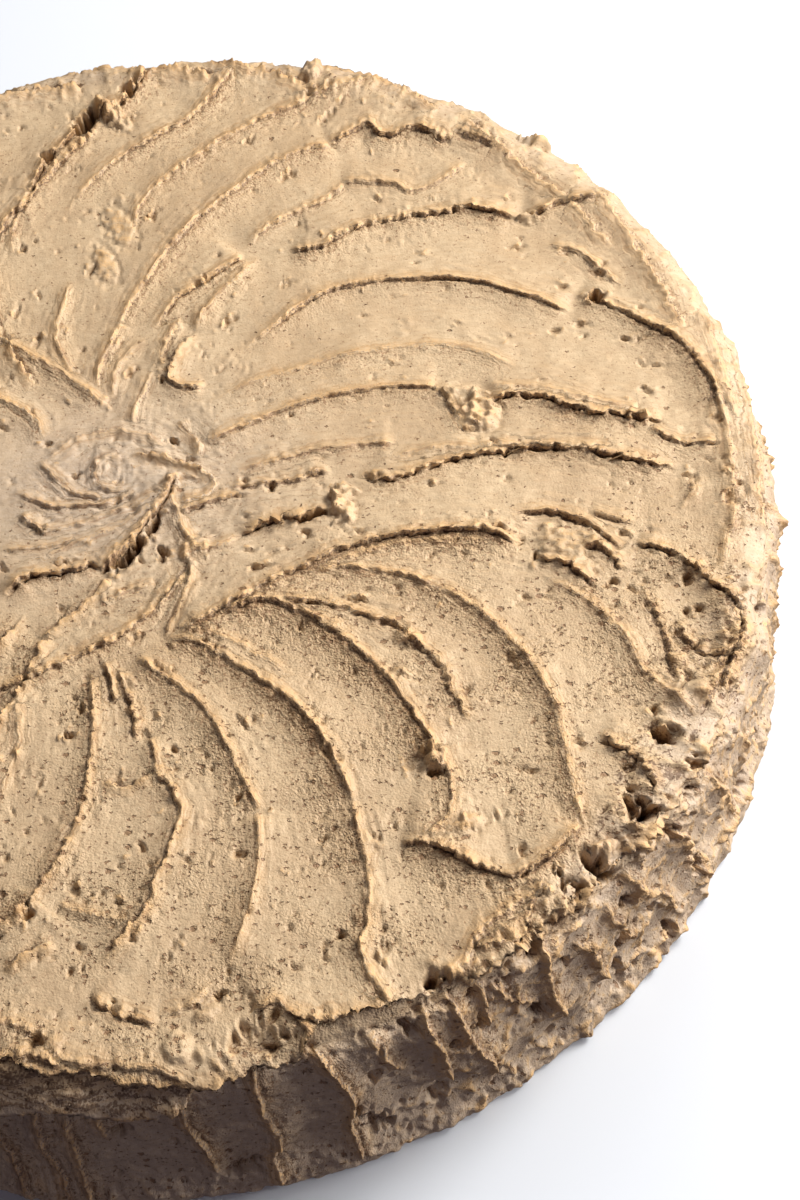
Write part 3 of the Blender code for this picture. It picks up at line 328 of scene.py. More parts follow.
# ------------------------------------------------------------------------------------------------ ridges
class Path:
    """A smooth line through a few points, with the distance along it and to its left of the points near it."""

    def __init__(self, points, step=0.8):
        p = [np.array(q, float) for q in points]
        p = [2 * p[0] - p[1], *p, 2 * p[-1] - p[-2]]
        legs = []
        for a, b, c, d in zip(p, p[1:], p[2:], p[3:]):
            t = np.linspace(0, 1, max(3, int(np.linalg.norm(c - b) / step)), endpoint=False)[:, None]
            legs.append(0.5 * (2 * b + (c - a) * t + (2 * a - 5 * b + 4 * c - d) * t**2 + (3 * b - a - 3 * c + d) * t**3))
        self.at = np.concatenate([*legs, p[-2][None]])
        self.u = np.concatenate([[0.0], np.cumsum(np.linalg.norm(np.diff(self.at, axis=0), axis=1))])
        self.length = self.u[-1]
        self.t = np.gradient(self.at, axis=0)
        self.t /= np.linalg.norm(self.t, axis=1, keepdims=True)
        self.lo, self.hi = self.at.min(axis=0), self.at.max(axis=0)

    def near(self, x, y, pad):
        """Which points lie in the box round the line."""
        return np.nonzero(
            (x > self.lo[0] - pad) & (x < self.hi[0] + pad) & (y > self.lo[1] - pad) & (y < self.hi[1] + pad)
        )[0]

    def measure(self, x, y):
        """Distance along the line, distance to its left, and the direction of its left."""
        x, y = x.astype(np.float32), y.astype(np.float32)
        best, k = np.full(len(x), 1e9, np.float32), np.zeros(len(x), np.int32)
        for j, (px, py) in enumerate(self.at.astype(np.float32)):
            d = (x - px) ** 2 + (y - py) ** 2
            closer = d < best
            best[closer] = d[closer]
            k[closer] = j
        dx, dy = x - self.at[k, 0], y - self.at[k, 1]
        tx, ty = self.t[k, 0], self.t[k, 1]
        return self.u[k] + dx * tx + dy * ty, tx * dy - ty * dx, -ty, tx


def wave(rows, x, y, grains, seed, keep):
    """Body, sharper relief and sideways lean of all the ridges of a table at x, y. Each row's points are in the same
    plane. keep gathers what the finish needs: how near a crest is, how far down its steep face, and the way it runs."""
    body, h, gx, gy = np.zeros(len(x)), np.zeros(len(x)), np.zeros(len(x)), np.zeros(len(x))
    w6, w2, w1, bead, grit = grains
    for k, (height, right, left, cut, rag, curl, fin, fout, *points) in enumerate(rows):
        path = Path(points)
        i = path.near(x, y, 3.2 * max(right, left) + 2)
        if not len(i):
            continue
        u, v, vx, vy = path.measure(x[i], y[i])
        q = v + (0.25 + 0.45 * rag) * w6[i] + (0.16 + 0.26 * rag) * w2[i] + (0.16 + 0.24 * rag) * w1[i]
        there = ramp(u, -1, fin) * ramp(path.length - u, -1, fout)
        there = there * (1 + 0.30 * noise(u / 12, u * 0 + k * 3.7, seed))
        r, l = np.maximum(-q, 0), np.maximum(q, 0)
        size = min(height / 2.4, 1.2)
        broad = np.where(q < 0, np.exp(-r / right), np.exp(-l / left))
        body[i] += (there * RIDGE_BODY * height**0.62 * broad) ** 3
        beads = np.clip(1 + (0.15 + rag) * (1.6 * bead[i] + 0.6 * noise(u / 3.1, u * 0 + k * 9.7, seed + 1)), 0.0, 2.8)
        crest = there * np.exp(-((r / 0.36) ** 2)) * np.exp(-((l / 0.50) ** 1.2)) * beads
        h[i] += (0.15 + 0.11 * height) * crest
        # the crevice under the crest, broken where frosting has closed it
        gaps = ramp(noise(u / 2.6, u * 0 + k * 5.1, seed + 5) + 0.85 - 0.5 * rag - 0.4 * bead[i], -0.1, 0.4)
        if cut > 0.05:
            middle = 0.72 + 0.25 * bead[i]
            h[i] -= (0.04 + 0.86 * cut) * there * np.exp(-(((r - middle) / 0.36) ** 2)) * (q < 0) * gaps
        # folds along the crest, and the torn grain of the steep face
        zone = np.exp(-(((v - 0.9) / 1.6) ** 2))
        h[i] += there * (0.10 + 0.14 * size) * noise(u / 3.6 + 0.35 * w2[i], v / 0.95 + 0.3 * w1[i], seed + 2 + k) * zone
        combed = ramp(noise(u / 9, v / 5, seed + 4 + k), -0.3, 0.4) + 0.9 * np.exp(-((x[i] ** 2 + (y[i] + 3) ** 2) / 26**2)) * (seed == 40)
        h[i] += there * (0.07 + 0.24 * combed) * noise(u / 5.5 + 0.3 * w2[i], v / 1.05 + 0.35 * w1[i] + 0.3 * w6[i], seed + 3 + k) * np.exp(-np.abs(v) / 5)
        steep = there * np.exp(-r / (0.8 * right)) * ramp(r, 0.2, 0.9)
        h[i] += (0.16 + 0.28 * rag) * size * grit[i] * steep
        h[i] += there * rag * 0.30 * bead[i] * zone
        over = there * 0.8 * curl * np.exp(-((r / 0.5) ** 2)) * np.exp(-l / 1.8) * np.clip(beads, 0.2, 1.7)
        gx[i] -= over * vx
        gy[i] -= over * vy
        near = np.clip(there, 0, 1) * np.exp(-np.abs(q + 0.2) / (1.5 + 1.2 * rag))
        win = near > keep["near"][i]
        j = i[win]
        keep["near"][j], keep["u"][j], keep["v"][j] = near[win], u[win] + 137.0 * k + seed, q[win]
        keep["slot"][j] = (np.clip(there, 0, 1) * (min(0.35 + 0.65 * cut, 1.0) if cut > 0.05 else 0.15) * (0.25 + 0.75 * gaps))[win]
        keep["lip"][j] = (min(0.2 + height / 1.8, 1) * np.clip(there, 0, 1) * np.clip(0.35 + 0.4 * beads, 0, 1))[win]
        keep["fall"][i] = np.maximum(keep["fall"][i], size * steep)
        pull = there * np.exp(-np.abs(v) / 8)
        keep["dx"][i] += pull * vy
        keep["dy"][i] -= pull * vx
    if seed == 40:
        keep["slot"] *= 1 - 0.55 * np.exp(-((x**2 + (y - 3) ** 2) / 22**2))
    return np.cbrt(body), h, gx, gy


def polar(rows):
    """Rows whose points are an angle in degrees and s, as rows on the flat sheet."""
    made = []
    for row in rows:
        turned, last = [], None
        for angle, s in row[8:]:
            turned.append((s * cos(radians(angle)), s * sin(radians(angle))))
        made.append((*row[:8], *turned))
    return made


def back_ridges():
    """Ridges by the same rule on the part that is out of sight from the front."""
    rng = np.random.default_rng(SEED)
    made = []
    for k in range(BACK_STROKES):
        part = (k + 0.5) / BACK_STROKES
        start = 122 + 122 * part + rng.uniform(-2, 2)
        turn = 26 * (1 - part) + 6 + rng.uniform(-3, 3)
        inner, outer = rng.uniform(30, 38), rng.uniform(100, 109)
        height, rag = rng.uniform(1.4, 2.7), rng.uniform(0.3, 1.0)
        points = []
        for t in (0, 0.3, 0.62, 1):
            angle = radians(start - turn * t + 7 * sin(pi * t) + rng.uniform(-0.7, 0.7))
            points.append(((inner + (outer - inner) * t) * cos(angle), (inner + (outer - inner) * t) * sin(angle)))
        made.append((height, rng.uniform(2.6, 4.2), rng.uniform(6, 8), rng.uniform(0.2, 1.1), rag, rng.uniform(0.3, 0.8), 8, 8, *points))
    return made


def rim_ridges():
    """Folds along the rim by rule where none is named."""
    rng = np.random.default_rng(SEED + 2)
    made, angle = [], 56.0
    while angle < 246:
        span = rng.uniform(9, 17)
        s0, s1 = rng.uniform(109, 113), rng.uniform(113, 120)
        made.append((rng.uniform(0.9, 1.7), rng.uniform(1.5, 2.8), rng.uniform(3, 5), rng.uniform(0.4, 1.4), rng.uniform(0.6, 1.0),
                     rng.uniform(0.5, 1.0), 3, 3, (angle, s0), (angle + span * 0.5, (s0 + s1) / 2 + rng.uniform(-1, 1)), (angle + span, s1)))
        angle += span * rng.uniform(0.62, 0.95)
    return made


def dab_ridges():
    """Upright ridges all round the side: each is its mean angle, and a row for the plane of (distance round, s)."""
    rng = np.random.default_rng(SEED + 1)
    rows, angle = list(DABS), 334.0
    while angle < 334 + 280:
        lean = rng.uniform(-0.5, 5.5)
        top = rng.uniform(117, 134)
        bottom = min(top + rng.uniform(16, 44), S_BASE - 1)
        mid = 0.5 * (top + bottom)
        rows.append((rng.uniform(0.5, 2.1), rng.uniform(1.5, 2.6), rng.uniform(2.2, 4.0), rng.uniform(0.5, 1.0),
                     (angle, top), (angle + lean * 0.4 + rng.uniform(-0.8, 0.8), mid), (angle + lean, bottom)))
        if rng.uniform() < 0.45:
            rows.append((rng.uniform(0.5, 1.3), 1.3, 2.0, 0.9, (angle + rng.uniform(1.5, 3), rng.uniform(120, 140)), (angle + rng.uniform(3, 4.5), rng.uniform(142, 160))))
        angle += rng.uniform(3.2, 9.5)
    made = []
    for height, right, left, rag, *points in rows:
        origin = sum(t for t, _ in points) / len(points)
        flat = [(radians(t - origin) * R_SIDE, s) for t, s in points]
        made.append((origin, (DAB_BODY * height, right, left, 0.35, rag, 0.3, 2.5, 7, *flat)))
    return made


# ------------------------------------------------------------------------------------------------ the surface
def build_surface(s, theta):
    """Points of the frosted surface in mm, its relief, and fields the finish uses."""
    X, Y = s * np.cos(theta), s * np.sin(theta)
    a = theta * R_SIDE
    n = len(s)
    h, gx, gy = np.zeros(n), np.zeros(n), np.zeros(n)
    keep = {name: np.zeros(n) for name in ("near", "u", "v", "crest", "fall", "slot", "lip", "painted_crease_shade", "dx", "dy")}
    # the middle of the top is marked for a painted greyer reflection
    grain_and_shade, painted_reflection_and_shade = np.zeros(n), 1.3 * np.exp(-(((X + 8) / 30) ** 2 + ((Y - 4) / 20) ** 2))

    # ---- the top
    on_top = np.nonzero(s < 126)[0]
    x, y, st = X[on_top], Y[on_top], s[on_top]
    w6, w2, w1 = fbm(x / 6.5, y / 6.5, 5, 2), noise(x / 2.4, y / 2.4, 6), noise(x / 1.25, y / 1.25, 7)
    bead = 0.65 * noise(x / 1.7, y / 1.7, 8) + 0.60 * noise(x / 0.95, y / 0.95, 9)
    rough = 0.6 * noise(x / 1.7, y / 1.7, 10) + 0.5 * noise(x / 0.95, y / 0.95, 11)
    grains = (w6, w2, w1, bead, rough)
    top_keep = {name: np.zeros(len(x)) for name in keep}
    body, sharp, tgx, tgy = wave(RIDGES + back_ridges(), x, y, grains, 40, top_keep)
    fade = 1 - ramp(st, 113, 119)
    more, rh, rgx, rgy = wave(polar(RIM + rim_ridges()), x, y, grains, 240, top_keep)
    # ridges that meet don't pile up: the tallest wins
    th = np.cbrt((body * fade) ** 3 + more**3) + sharp * fade + rh
    tgx, tgy = tgx * fade + rgx, tgy * fade + rgy
    for name in keep:
        keep[name][on_top] = top_keep[name]
    run = np.hypot(top_keep["dx"], top_keep["dy"]) + 1e-6
    spin = np.arctan2(y, x) - 0.6
    lie_x = top_keep["dx"] / run * np.minimum(run * 6, 1) + np.cos(spin) * np.maximum(1 - run * 6, 0)
    lie_y = top_keep["dy"] / run * np.minimum(run * 6, 1) + np.sin(spin) * np.maximum(1 - run * 6, 0)
    run = np.hypot(lie_x, lie_y) + 1e-6
    lie = (lie_x / run, lie_y / run)

    # warm marks where the finish paints a golden highlight, dark where it paints shade in the holes
    warm, dark = np.zeros(len(x)), np.zeros(len(x))
    edge = 0.35 * w2 + 0.25 * w1
    torn_edge = 0.75 * w2 + 0.55 * w1 + 0.35 * bead

    wx = x + 0.80 * w1 + 0.45 * w2 + 0.35 * noise(x / 0.8, y / 0.8, 13)
    wy = y + 0.80 * noise(x / 1.3, y / 1.3, 12) + 0.45 * noise(x / 2.6, y / 2.6, 15) + 0.35 * noise(x / 0.8, y / 0.8, 14)

    def local(mx, my, rx, ry, turn):
        reach = max(rx, ry) * 1.8 + 2
        i = np.nonzero((np.abs(x - mx) < reach) & (np.abs(y - my) < reach))[0]
        c, t = cos(radians(turn)), sin(radians(turn))
        dx, dy = wx[i] - mx, wy[i] - my
        return i, ((dx * c + dy * t) / rx) ** 2 + ((-dx * t + dy * c) / ry) ** 2

    lx, ly = x + 1.2 * w2 + 0.6 * w1, y + 1.2 * noise(x / 2.6, y / 2.6, 18) + 0.6 * noise(x / 1.3, y / 1.3, 19)
    crumb = 0.40 - 1.5 * np.abs(noise(lx / 3.6, ly / 3.6, 16)) + 0.6 * noise(lx / 1.5, ly / 1.5, 17) + 0.7 * rough
    for mx, my, rx, ry, turn, height, coarse in LUMPS:
        i, d2 = local(mx, my, rx, ry, turn)
        away = d2 - (0.5 + 0.6 * coarse) * edge[i] - 0.5 * coarse * bead[i]
        lump = np.clip(1 - away, 0, 1) ** 0.9
        th[i] += height * lump * (1 + coarse * (0.9 * crumb[i] + 0.4 * w2[i])) * (d2 < 2.6)
        th[i] -= 0.35 * coarse * np.exp(-(((away - 1.3) / 0.35) ** 2)) * (d2 < 2.9)
        warm[i] = np.maximum(warm[i], coarse * lump * np.clip(0.8 + 0.9 * bead[i], 0, 1))
    for mx, my, rx, ry, turn, depth in HOLES:
        i, d2 = local(mx, my, rx * HOLE_SIZE, ry * HOLE_SIZE, turn)
        inside = ramp(np.clip(1 - d2 + torn_edge[i], 0, 1.2), 0, 0.7) * (d2 < 2.4)
        th[i] -= HOLE_DEPTH * min(0.55 + depth / 8, 1) * depth * inside * (1 + 0.3 * rough[i])
        dark[i] = np.maximum(dark[i], inside * min(0.3 + depth / 6, 1))
        brim = np.exp(-(((np.sqrt(d2) - 1.3) / 0.3) ** 2)) * np.clip(0.3 + 1.6 * bead[i], 0, 1.6)
        th[i] += 0.35 * depth**0.5 * brim
        warm[i] = np.maximum(warm[i], np.clip(brim, 0, 1))

    # the open faces: soft swells, fine drag lines, small tears and air holes, dense in front
    front = np.clip(ramp(-y + 0.15 * x, -6, 50) * (0.75 + 0.5 * noise(x / 13, y / 13, 90)), 0, 1.2)
    th += 0.34 * fbm(x / 19, y / 19, 91, 2) + 0.14 * noise(x / 5.4, y / 5.4, 92) - SINK
    across = (-lie[1], lie[0])
    crowd = np.clip(0.5 + 1.6 * noise(x / 9, y / 9, 94), 0, 1.4) * np.clip(front, 0.10, 1)
    th -= 1.8 * spots(wx, wy, 1.5, 95, 0.34 * crowd, 0.20, 0.50, 0, 1.7, across)
    pits = spots(wx + 40, wy - 9, 3.4, 101, 0.24 * crowd, 0.25, 0.65, 0, 2.4, across)
    th -= 2.2 * np.clip(pits, 0, 0.5)
    crumbs = spots(wx - 17, wy + 5, 4.6, 103, 0.20, 0.25, 0.6)
    th += 1.3 * crumbs
    warm = np.maximum(warm, np.clip(crumbs * 3, 0, 1))
    # short scratches that follow the spatula, each with a crumbly lip
    scratch = spots(wx, wy, 9.0, 107, 0.40, 0.3, 0.75, 0, 3.6, lie)
    th -= 1.5 * np.clip(scratch, 0, 0.6)
    beside = spots(wx + 0.8 * lie[1], wy - 0.8 * lie[0], 9.0, 107, 0.40, 0.3, 0.75, 0, 3.6, lie)
    crumbs = np.clip(beside - scratch, 0, 1) * np.clip(0.7 + 1.2 * bead, 0, 2)
    th += 0.9 * crumbs
    warm = np.maximum(warm, np.clip(crumbs * 2, 0, 1))
    scrape = spots(wx * 0.9 + 11, wy * 0.9, 9.0, 119, 0.36, 0.8, 2.4, 0, 1.9)
    th += 0.5 * np.clip(scrape, 0, 0.6) * bead
    middle = np.exp(-((x + 3) ** 2 + (y - 1) ** 2) / 21**2)
    th += (0.05 + 0.07 * np.clip(front, 0, 1) + 0.10 * middle) * rough
    # torn strands in the middle, wound round it
    far, round_it = np.hypot(x + 4, y - 5), np.arctan2(y - 5, x + 4)
    wound = noise(far / 1.5 + 0.9 * round_it + 0.6 * w6 + 0.5 * w2, round_it * 2.2 + 0.35 * w2, 97)
    th += middle * 0.42 * (np.abs(wound) * 1.6 - 0.4) * ramp(noise(x / 7, y / 7, 98), -0.5, 0.2)
    h[on_top] += th * (1 - ramp(st, 118, 126))
    gx[on_top], gy[on_top] = tgx, tgy
    # the front's mark sets the grain and also a painted shade, darker and browner, in the finish
    grain_and_shade[on_top] = np.clip(0.03 + 0.97 * np.clip(front, 0, 1) * np.clip(0.35 + crowd, 0.25, 1.2), 0, 1)
    # painted golden highlight on lumps, hole brims and crumbs, and painted shade in the holes, for the finish
    keep["crest"][on_top] = np.maximum(keep["crest"][on_top], warm)
    keep["painted_crease_shade"][on_top] = np.maximum(keep["painted_crease_shade"][on_top], 0.85 * dark)

    # ---- the torn rim
    deg = np.degrees(theta) % 360
    messy = np.interp(deg, [0, 40, 60, 120, 200, 245, 256, 271, 276, 280, 285, 292, 295, 320, 335, 345, 360],
                      [0.45, 0.5, 0.65, 0.8, 0.8, 0.3, 0.15, 0.35, 0.9, 0.9, 0.45, 0.6, 1.0, 1.0, 0.9, 0.55, 0.45])
    inner = np.interp(deg, [0, 60, 120, 250, 292, 305, 312, 322, 338, 346, 360], [112, 110, 109, 112, 112, 110, 109, 105, 106, 111, 112])
    torn = ramp(s, inner - 3, inner + 3) * (1 - ramp(s, 121, 126)) * messy
    i = np.nonzero(torn > 0.01)[0]
    ai, si = a[i], s[i]
    aw = ai + 1.6 * side_noise(ai, si, 7.5, 108) + 0.7 * side_noise(ai, si, 3.0, 109)
    sw = si + 1.6 * side_noise(ai, si, 7.5, 110) + 0.7 * side_noise(ai, si, 3.0, 111)
    steps = 1.6 + 1.5 * side_noise(aw, sw, 10.0, 112, 0.7) + 0.8 * side_noise(aw, sw, 4.4, 118, 0.6)
    level = np.floor(steps)
    steps = level + ramp(steps - level, 0.0, 0.22) - 1.6
    folds = 1.6 * np.abs(side_noise(aw, sw, 5.0, 113, 0.55)) - 0.45
    flakes = 1.6 * np.abs(side_noise(aw, sw, 2.3, 114, 0.7)) - 0.5
    fine = side_noise(aw, sw, 1.15, 115)
    crevice = ramp(side_noise(aw, sw, 4.2, 116, 0.6), 0.34, 0.62)
    dabbed = np.interp(deg[i], DABBED[0], DABBED[1])
    hollow, edges, banks = cups(aw - 0.20 * (sw - 120), sw, 84, 1.25, 160)
    hollowed = ramp(si, inner[i] - 1, inner[i] + 5) * (1 - ramp(si, 116, 123)) * dabbed
    cells = round(ROUND / 1.7)
    bits = spots(aw, sw, ROUND / cells, 172, 0.55, 0.30, 0.8, cells, 1.3)
    cells = round(ROUND / 4.0)
    bits = np.maximum(bits, 0.7 * spots(aw + 9, sw, ROUND / cells, 176, 0.30, 0.6, 1.4, cells, 1.4))
    calm = 1 - 0.88 * dabbed * (1 - banks)
    # painted reflection and shade: the rim's cup floors are marked to be painted greyer
    painted_reflection_and_shade[i] = np.maximum(painted_reflection_and_shade[i], hollowed * (1 - banks))
    h[i] += hollowed * (2.6 * (hollow - 0.22) + 0.25 * edges)
    h[i] += torn[i] * calm * (0.24 * steps + 0.34 * folds + 0.30 * flakes + 0.30 * fine + 0.70 * bits - 1.3 * crevice)
    # painted golden highlight on the rim's folds, flakes and bits, and painted shade in its crevices and fold bottoms
    keep["crest"][i] = np.maximum(keep["crest"][i], torn[i] * calm * np.clip(0.5 * folds + 0.6 * flakes + 1.4 * bits, 0, 1))
    keep["painted_crease_shade"][i] = np.maximum(keep["painted_crease_shade"][i], torn[i] * np.maximum(0.8 * crevice, 0.9 - 6 * np.abs(side_noise(aw, sw, 5.0, 113, 0.55))))

    # ---- the daubed side
    side = ramp(s, 116, 123)
    i = np.nonzero(side > 0)[0]
    ai, si, ti = a[i], s[i], theta[i]
    grain = side_noise(ai, si, 1.5, 124)
    bead = 0.75 * side_noise(ai, si, 1.9, 132) + 0.45 * side_noise(ai, si, 1.05, 133)
    grit = 0.6 * side_noise(ai, si, 1.7, 138) + 0.5 * side_noise(ai, si, 0.95, 139)
    grains = (side_noise(ai, si, 6.5, 134, 1.4), side_noise(ai, si, 2.4, 135, 1.3), side_noise(ai, si, 1.25, 136), bead, grit)
    wall = np.zeros(len(i))
    wall_keep = {name: np.zeros(len(i)) for name in keep}
    body = np.zeros(len(i))
    for number, (origin, row) in enumerate(dab_ridges()):
        off = ((ti - radians(origin) + pi) % (2 * pi) - pi) * R_SIDE
        close = np.nonzero(np.abs(off) < 16)[0]
        part = {name: field[close] for name, field in wall_keep.items()}
        db, dh, dx, dy = wave([row], off[close], si[close], tuple(g[close] for g in grains), 300 + 7 * number, part)
        for name in part:
            wall_keep[name][close] = part[name]
        body[close] += db**3
        wall[close] += dh
    di = np.degrees(ti) % 360
    aw = ai + 1.2 * side_noise(ai, si, 6.0, 140) + 0.5 * side_noise(ai, si, 2.4, 141)
    sw = si + 1.2 * side_noise(ai, si, 6.0, 142) + 0.5 * side_noise(ai, si, 2.4, 143)
    # small dabs where the spatula's tip has dragged, leaning the same way as the ridges
    tipped = aw - 0.20 * (sw - 120)
    dabbed = np.interp(di, DABBED[0], DABBED[1])
    hollow, edges, banks = cups(tipped, sw, 84, 1.25, 160)
    small, small_edges, _ = cups(tipped + 5, sw, 150, 1.35, 166)
    wall += dabbed * (2.9 * (hollow - 0.22) + 0.30 * edges * np.clip(0.5 + 1.2 * bead, 0, 1.8))
    wall += dabbed * banks * (0.40 * (small - 0.22) + 0.20 * small_edges * np.clip(0.5 + bead, 0, 1.6))
    wall += np.cbrt(body) - 1.25
    wall += 0.7 * side_noise(ai, si, 15, 120, 1.6) + 0.25 * side_noise(ai, si, 5, 121, 1.5)
    wall += (1 - 0.8 * dabbed) * (0.20 * side_noise(ai, si, 4.5, 126, 0.24) + 0.85 * side_noise(aw, sw, 9.0, 148, 1.2)) + 0.08 * side_noise(aw, sw, 2.0, 128, 0.6)
    wall += 0.08 * grain + 0.07 * bead
    crumbly = np.interp(di, [0, 180, 268, 284, 292, 296, 330, 345, 360], [0.6, 0.6, 0.35, 0.4, 0.8, 1.1, 1.1, 0.8, 0.6])
    low = ramp(si, S_BASE - 14, S_BASE - 4) * crumbly * (1 - 0.75 * dabbed * (1 - banks)) + 0.50 * crumbly * ramp(si, 118, 130) * (1 - 0.95 * dabbed * (1 - banks))
    ridged = 1.6 * np.abs(side_noise(aw, sw, 2.8, 145, 1.3)) - 0.5
    wall += low * (0.5 * (np.abs(side_noise(aw, sw, 5.5, 144)) * 2 - 0.5) + 0.50 * ridged
                   + 0.30 * side_noise(aw, sw, 1.3, 146) - 1.1 * ramp(side_noise(aw, sw, 4.0, 147), 0.3, 0.65))
    wall += 0.9 * ramp(si, S_BASE - 9, S_BASE - 3) * (0.5 + 0.7 * side_noise(aw, sw, 4.0, 127) + 0.4 * bead)
    cells = round(ROUND / 2.6)
    wall -= 1.6 * spots(aw, sw, ROUND / cells, 150, 0.22, 0.3, 0.8, cells, 1.5)
    cells = round(ROUND / 8.5)
    pocket = spots(tipped + 20 + 1.5 * bead, sw + 1.5 * grit, ROUND / cells, 170, 0.26 * dabbed, 0.6, 2.2, cells, 1.6, (0.25, 0.97))
    wall -= 1.6 * pocket
    # painted shade in the pockets
    keep["painted_crease_shade"][i] = np.maximum(keep["painted_crease_shade"][i], side[i] * np.clip(1.0 * pocket - 0.25, 0, 1))
    wall = wall * (1 - 0.5 * ramp(si, S_BASE - 6, S_BASE)) + 1.5 * ramp(si, S_BASE - 14, S_BASE - 1) - 0.5 * ramp(si, S_BASE - 1.2, S_BASE)
    h[i] += wall * side[i]
    nearer = wall_keep["near"] * side[i] > keep["near"][i]
    for name in ("near", "u", "v", "slot", "lip"):
        keep[name][i] = np.where(nearer, wall_keep[name], keep[name][i])
    # painted golden highlight on the edges of the cups and on the low ridges
    edge_mark = dabbed * np.maximum(edges, small_edges) * np.clip(0.6 + bead, 0, 1) + low * np.clip(ridged * 1.5, 0, 1)
    keep["crest"][i] = np.maximum(keep["crest"][i], side[i] * edge_mark)
    keep["fall"][i] = np.maximum(keep["fall"][i], side[i] * wall_keep["fall"])
    # painted shade: the side gets part of the front's darker, browner tone
    grain_and_shade[i] = grain_and_shade[i] * (1 - side[i]) + side[i] * 0.45
    # painted shade: away from its edges the side is marked to be painted greyer and darker
    painted_reflection_and_shade[i] = np.maximum(painted_reflection_and_shade[i], side[i] * (1.5 - 1.2 * np.clip(edge_mark, 0, 1)))
    for angle, hs, ra, rs, depth in SIDE_HOLES:
        off = ((theta - radians(angle) + pi) % (2 * pi) - pi) * R_SIDE
        j = np.nonzero((np.abs(off) < ra * 2) & (np.abs(s - hs) < rs * 2))[0]
        ragged = 0.9 * side_noise(a[j], s[j], 4.2, 129) + 1.0 * side_noise(a[j], s[j], 2.2, 131) + 0.6 * side_noise(a[j], s[j], 1.2, 137)
        d2 = (off[j] / (ra * 0.95)) ** 2 + ((s[j] - hs) / (rs * 0.95)) ** 2 + ragged
        inside = ramp(np.clip(1 - d2, 0, 1.2), 0, 0.9)
        h[j] -= 0.95 * depth * inside
        # painted shade in the side's holes
        keep["painted_crease_shade"][j] = np.maximum(keep["painted_crease_shade"][j], 0.85 * inside * min(depth / 3, 1))

    # ---- the overhanging ledge
    table = np.array(LEDGE)
    lip_s = np.interp(deg, table[:, 0], table[:, 1])
    strength = np.interp(deg, table[:, 0], table[:, 2])
    below = s - lip_s
    ragged = below - 0.9 * side_noise(a, s * 0, 9, 151) - 0.8 * side_noise(a, s, 3.6, 152) - 0.6 * side_noise(a, s, 1.6, 153)
    out = LEDGE_OUT * np.exp(np.minimum(below, 0) / 4.5) * (1 - ramp(ragged, -0.1, 0.8))
    back = LEDGE_SET_BACK * ramp(ragged, -0.1, 0.8) * np.exp(-np.clip(below, 0, None) / 10)
    swell = np.interp(deg, [0, 18, 32, 74, 92, 360], [0, 1.0, 1.9, 1.9, 0, 0])
    radial = strength * (out - back) + (2.1 + swell) * ramp(s, 104, 121)
    brow_s = np.interp(deg, BROW[0], BROW[1])
    brow = np.interp(deg, BROW[0], BROW[2])
    under = s - brow_s - 1.1 * side_noise(a, s * 0, 7, 154) - 0.5 * side_noise(a, s, 2.6, 155) - 0.3 * side_noise(a, s, 1.4, 156)
    radial += brow * (1.5 * np.exp(np.minimum(s - brow_s, 0) / 3.0) * (1 - ramp(under, 0, 0.7)) - 1.3 * ramp(under, 0, 0.7) * np.exp(-np.clip(under, 0, None) / 4.5))
    face = brow * ramp(under, 0.2, 1.0) * (1 - ramp(below, -1.5, 0.5))
    streaks = side_noise(a, s, 6.0, 157, 0.10) + 0.6 * side_noise(a, s, 2.4, 158, 0.25)
    radial += 0.35 * face * streaks
    # painted golden highlight on the brow's and ledge's lips, and painted shadow on the face under the brow, with paler
    # streaks
    lips = brow * np.exp(-(((under + 0.4) / 0.7) ** 2)) + strength * np.exp(-(((ragged + 0.6) / 0.9) ** 2)) * np.clip(0.6 + streaks, 0, 1) * (brow > 0.3)
    keep["painted_crease_shade"] = np.maximum(keep["painted_crease_shade"] * (1 - 0.6 * face), face * np.clip(0.62 + 0.5 * streaks, 0, 1))
    keep["crest"] = np.maximum(keep["crest"], np.maximum(lips, face * np.clip(0.9 - 2.5 * streaks, 0, 1) * 0.5))

    # ---- from the sheet to the cake
    ct, sn_t = np.cos(theta), np.sin(theta)
    turn = np.clip((s - S_TOP) / R_EDGE, 0, pi / 2)
    sn, cs = np.sin(turn), np.cos(turn)
    radius = np.where(s < S_TOP, s, S_TOP + R_EDGE * sn)
    height = np.where(s < S_WALL, H_TOP - R_EDGE + R_EDGE * cs, H_TOP - R_EDGE - (s - S_WALL))
    slide = gx * ct + gy * sn_t
    cross = -gx * sn_t + gy * ct
    r = radius + h * sn + slide * cs + radial
    z = height + h * cs - slide * sn + 0.7 * np.exp(-(((s - 112) / 4.5) ** 2))
    z = np.where(z > 49.0, 49.0 + 1.2 * np.tanh((z - 49.0) / 1.2), z)
    z = np.where(s > S_BASE - 1e-6, 0.0, np.maximum(z, 0.02 * (S_BASE - s)))
    px = r * ct - cross * sn_t
    py = r * sn_t + cross * ct
    tone = 0.5 + 0.6 * fbm(X / 24, Y / 24, 201, 3) + 0.25 * noise(X / 3.1, Y / 3.1, 202)
    marks = {
        "strand": keep["near"], "strand_u": keep["u"], "strand_v": keep["v"], "grain_and_shade": grain_and_shade, "painted_reflection_and_shade": painted_reflection_and_shade,
        "crest": np.clip(keep["crest"], 0, 1.5), "fall": np.clip(keep["fall"], 0, 1.2), "slot": keep["slot"],
        "lip": keep["lip"], "painted_crease_shade": np.clip(keep["painted_crease_shade"], 0, 1.2),
        "tone": tone, "sheet": np.stack([X, Y, h], axis=1),
    }
    return np.stack([px + CENTRE[0], py + CENTRE[1], z], axis=1), h, marks


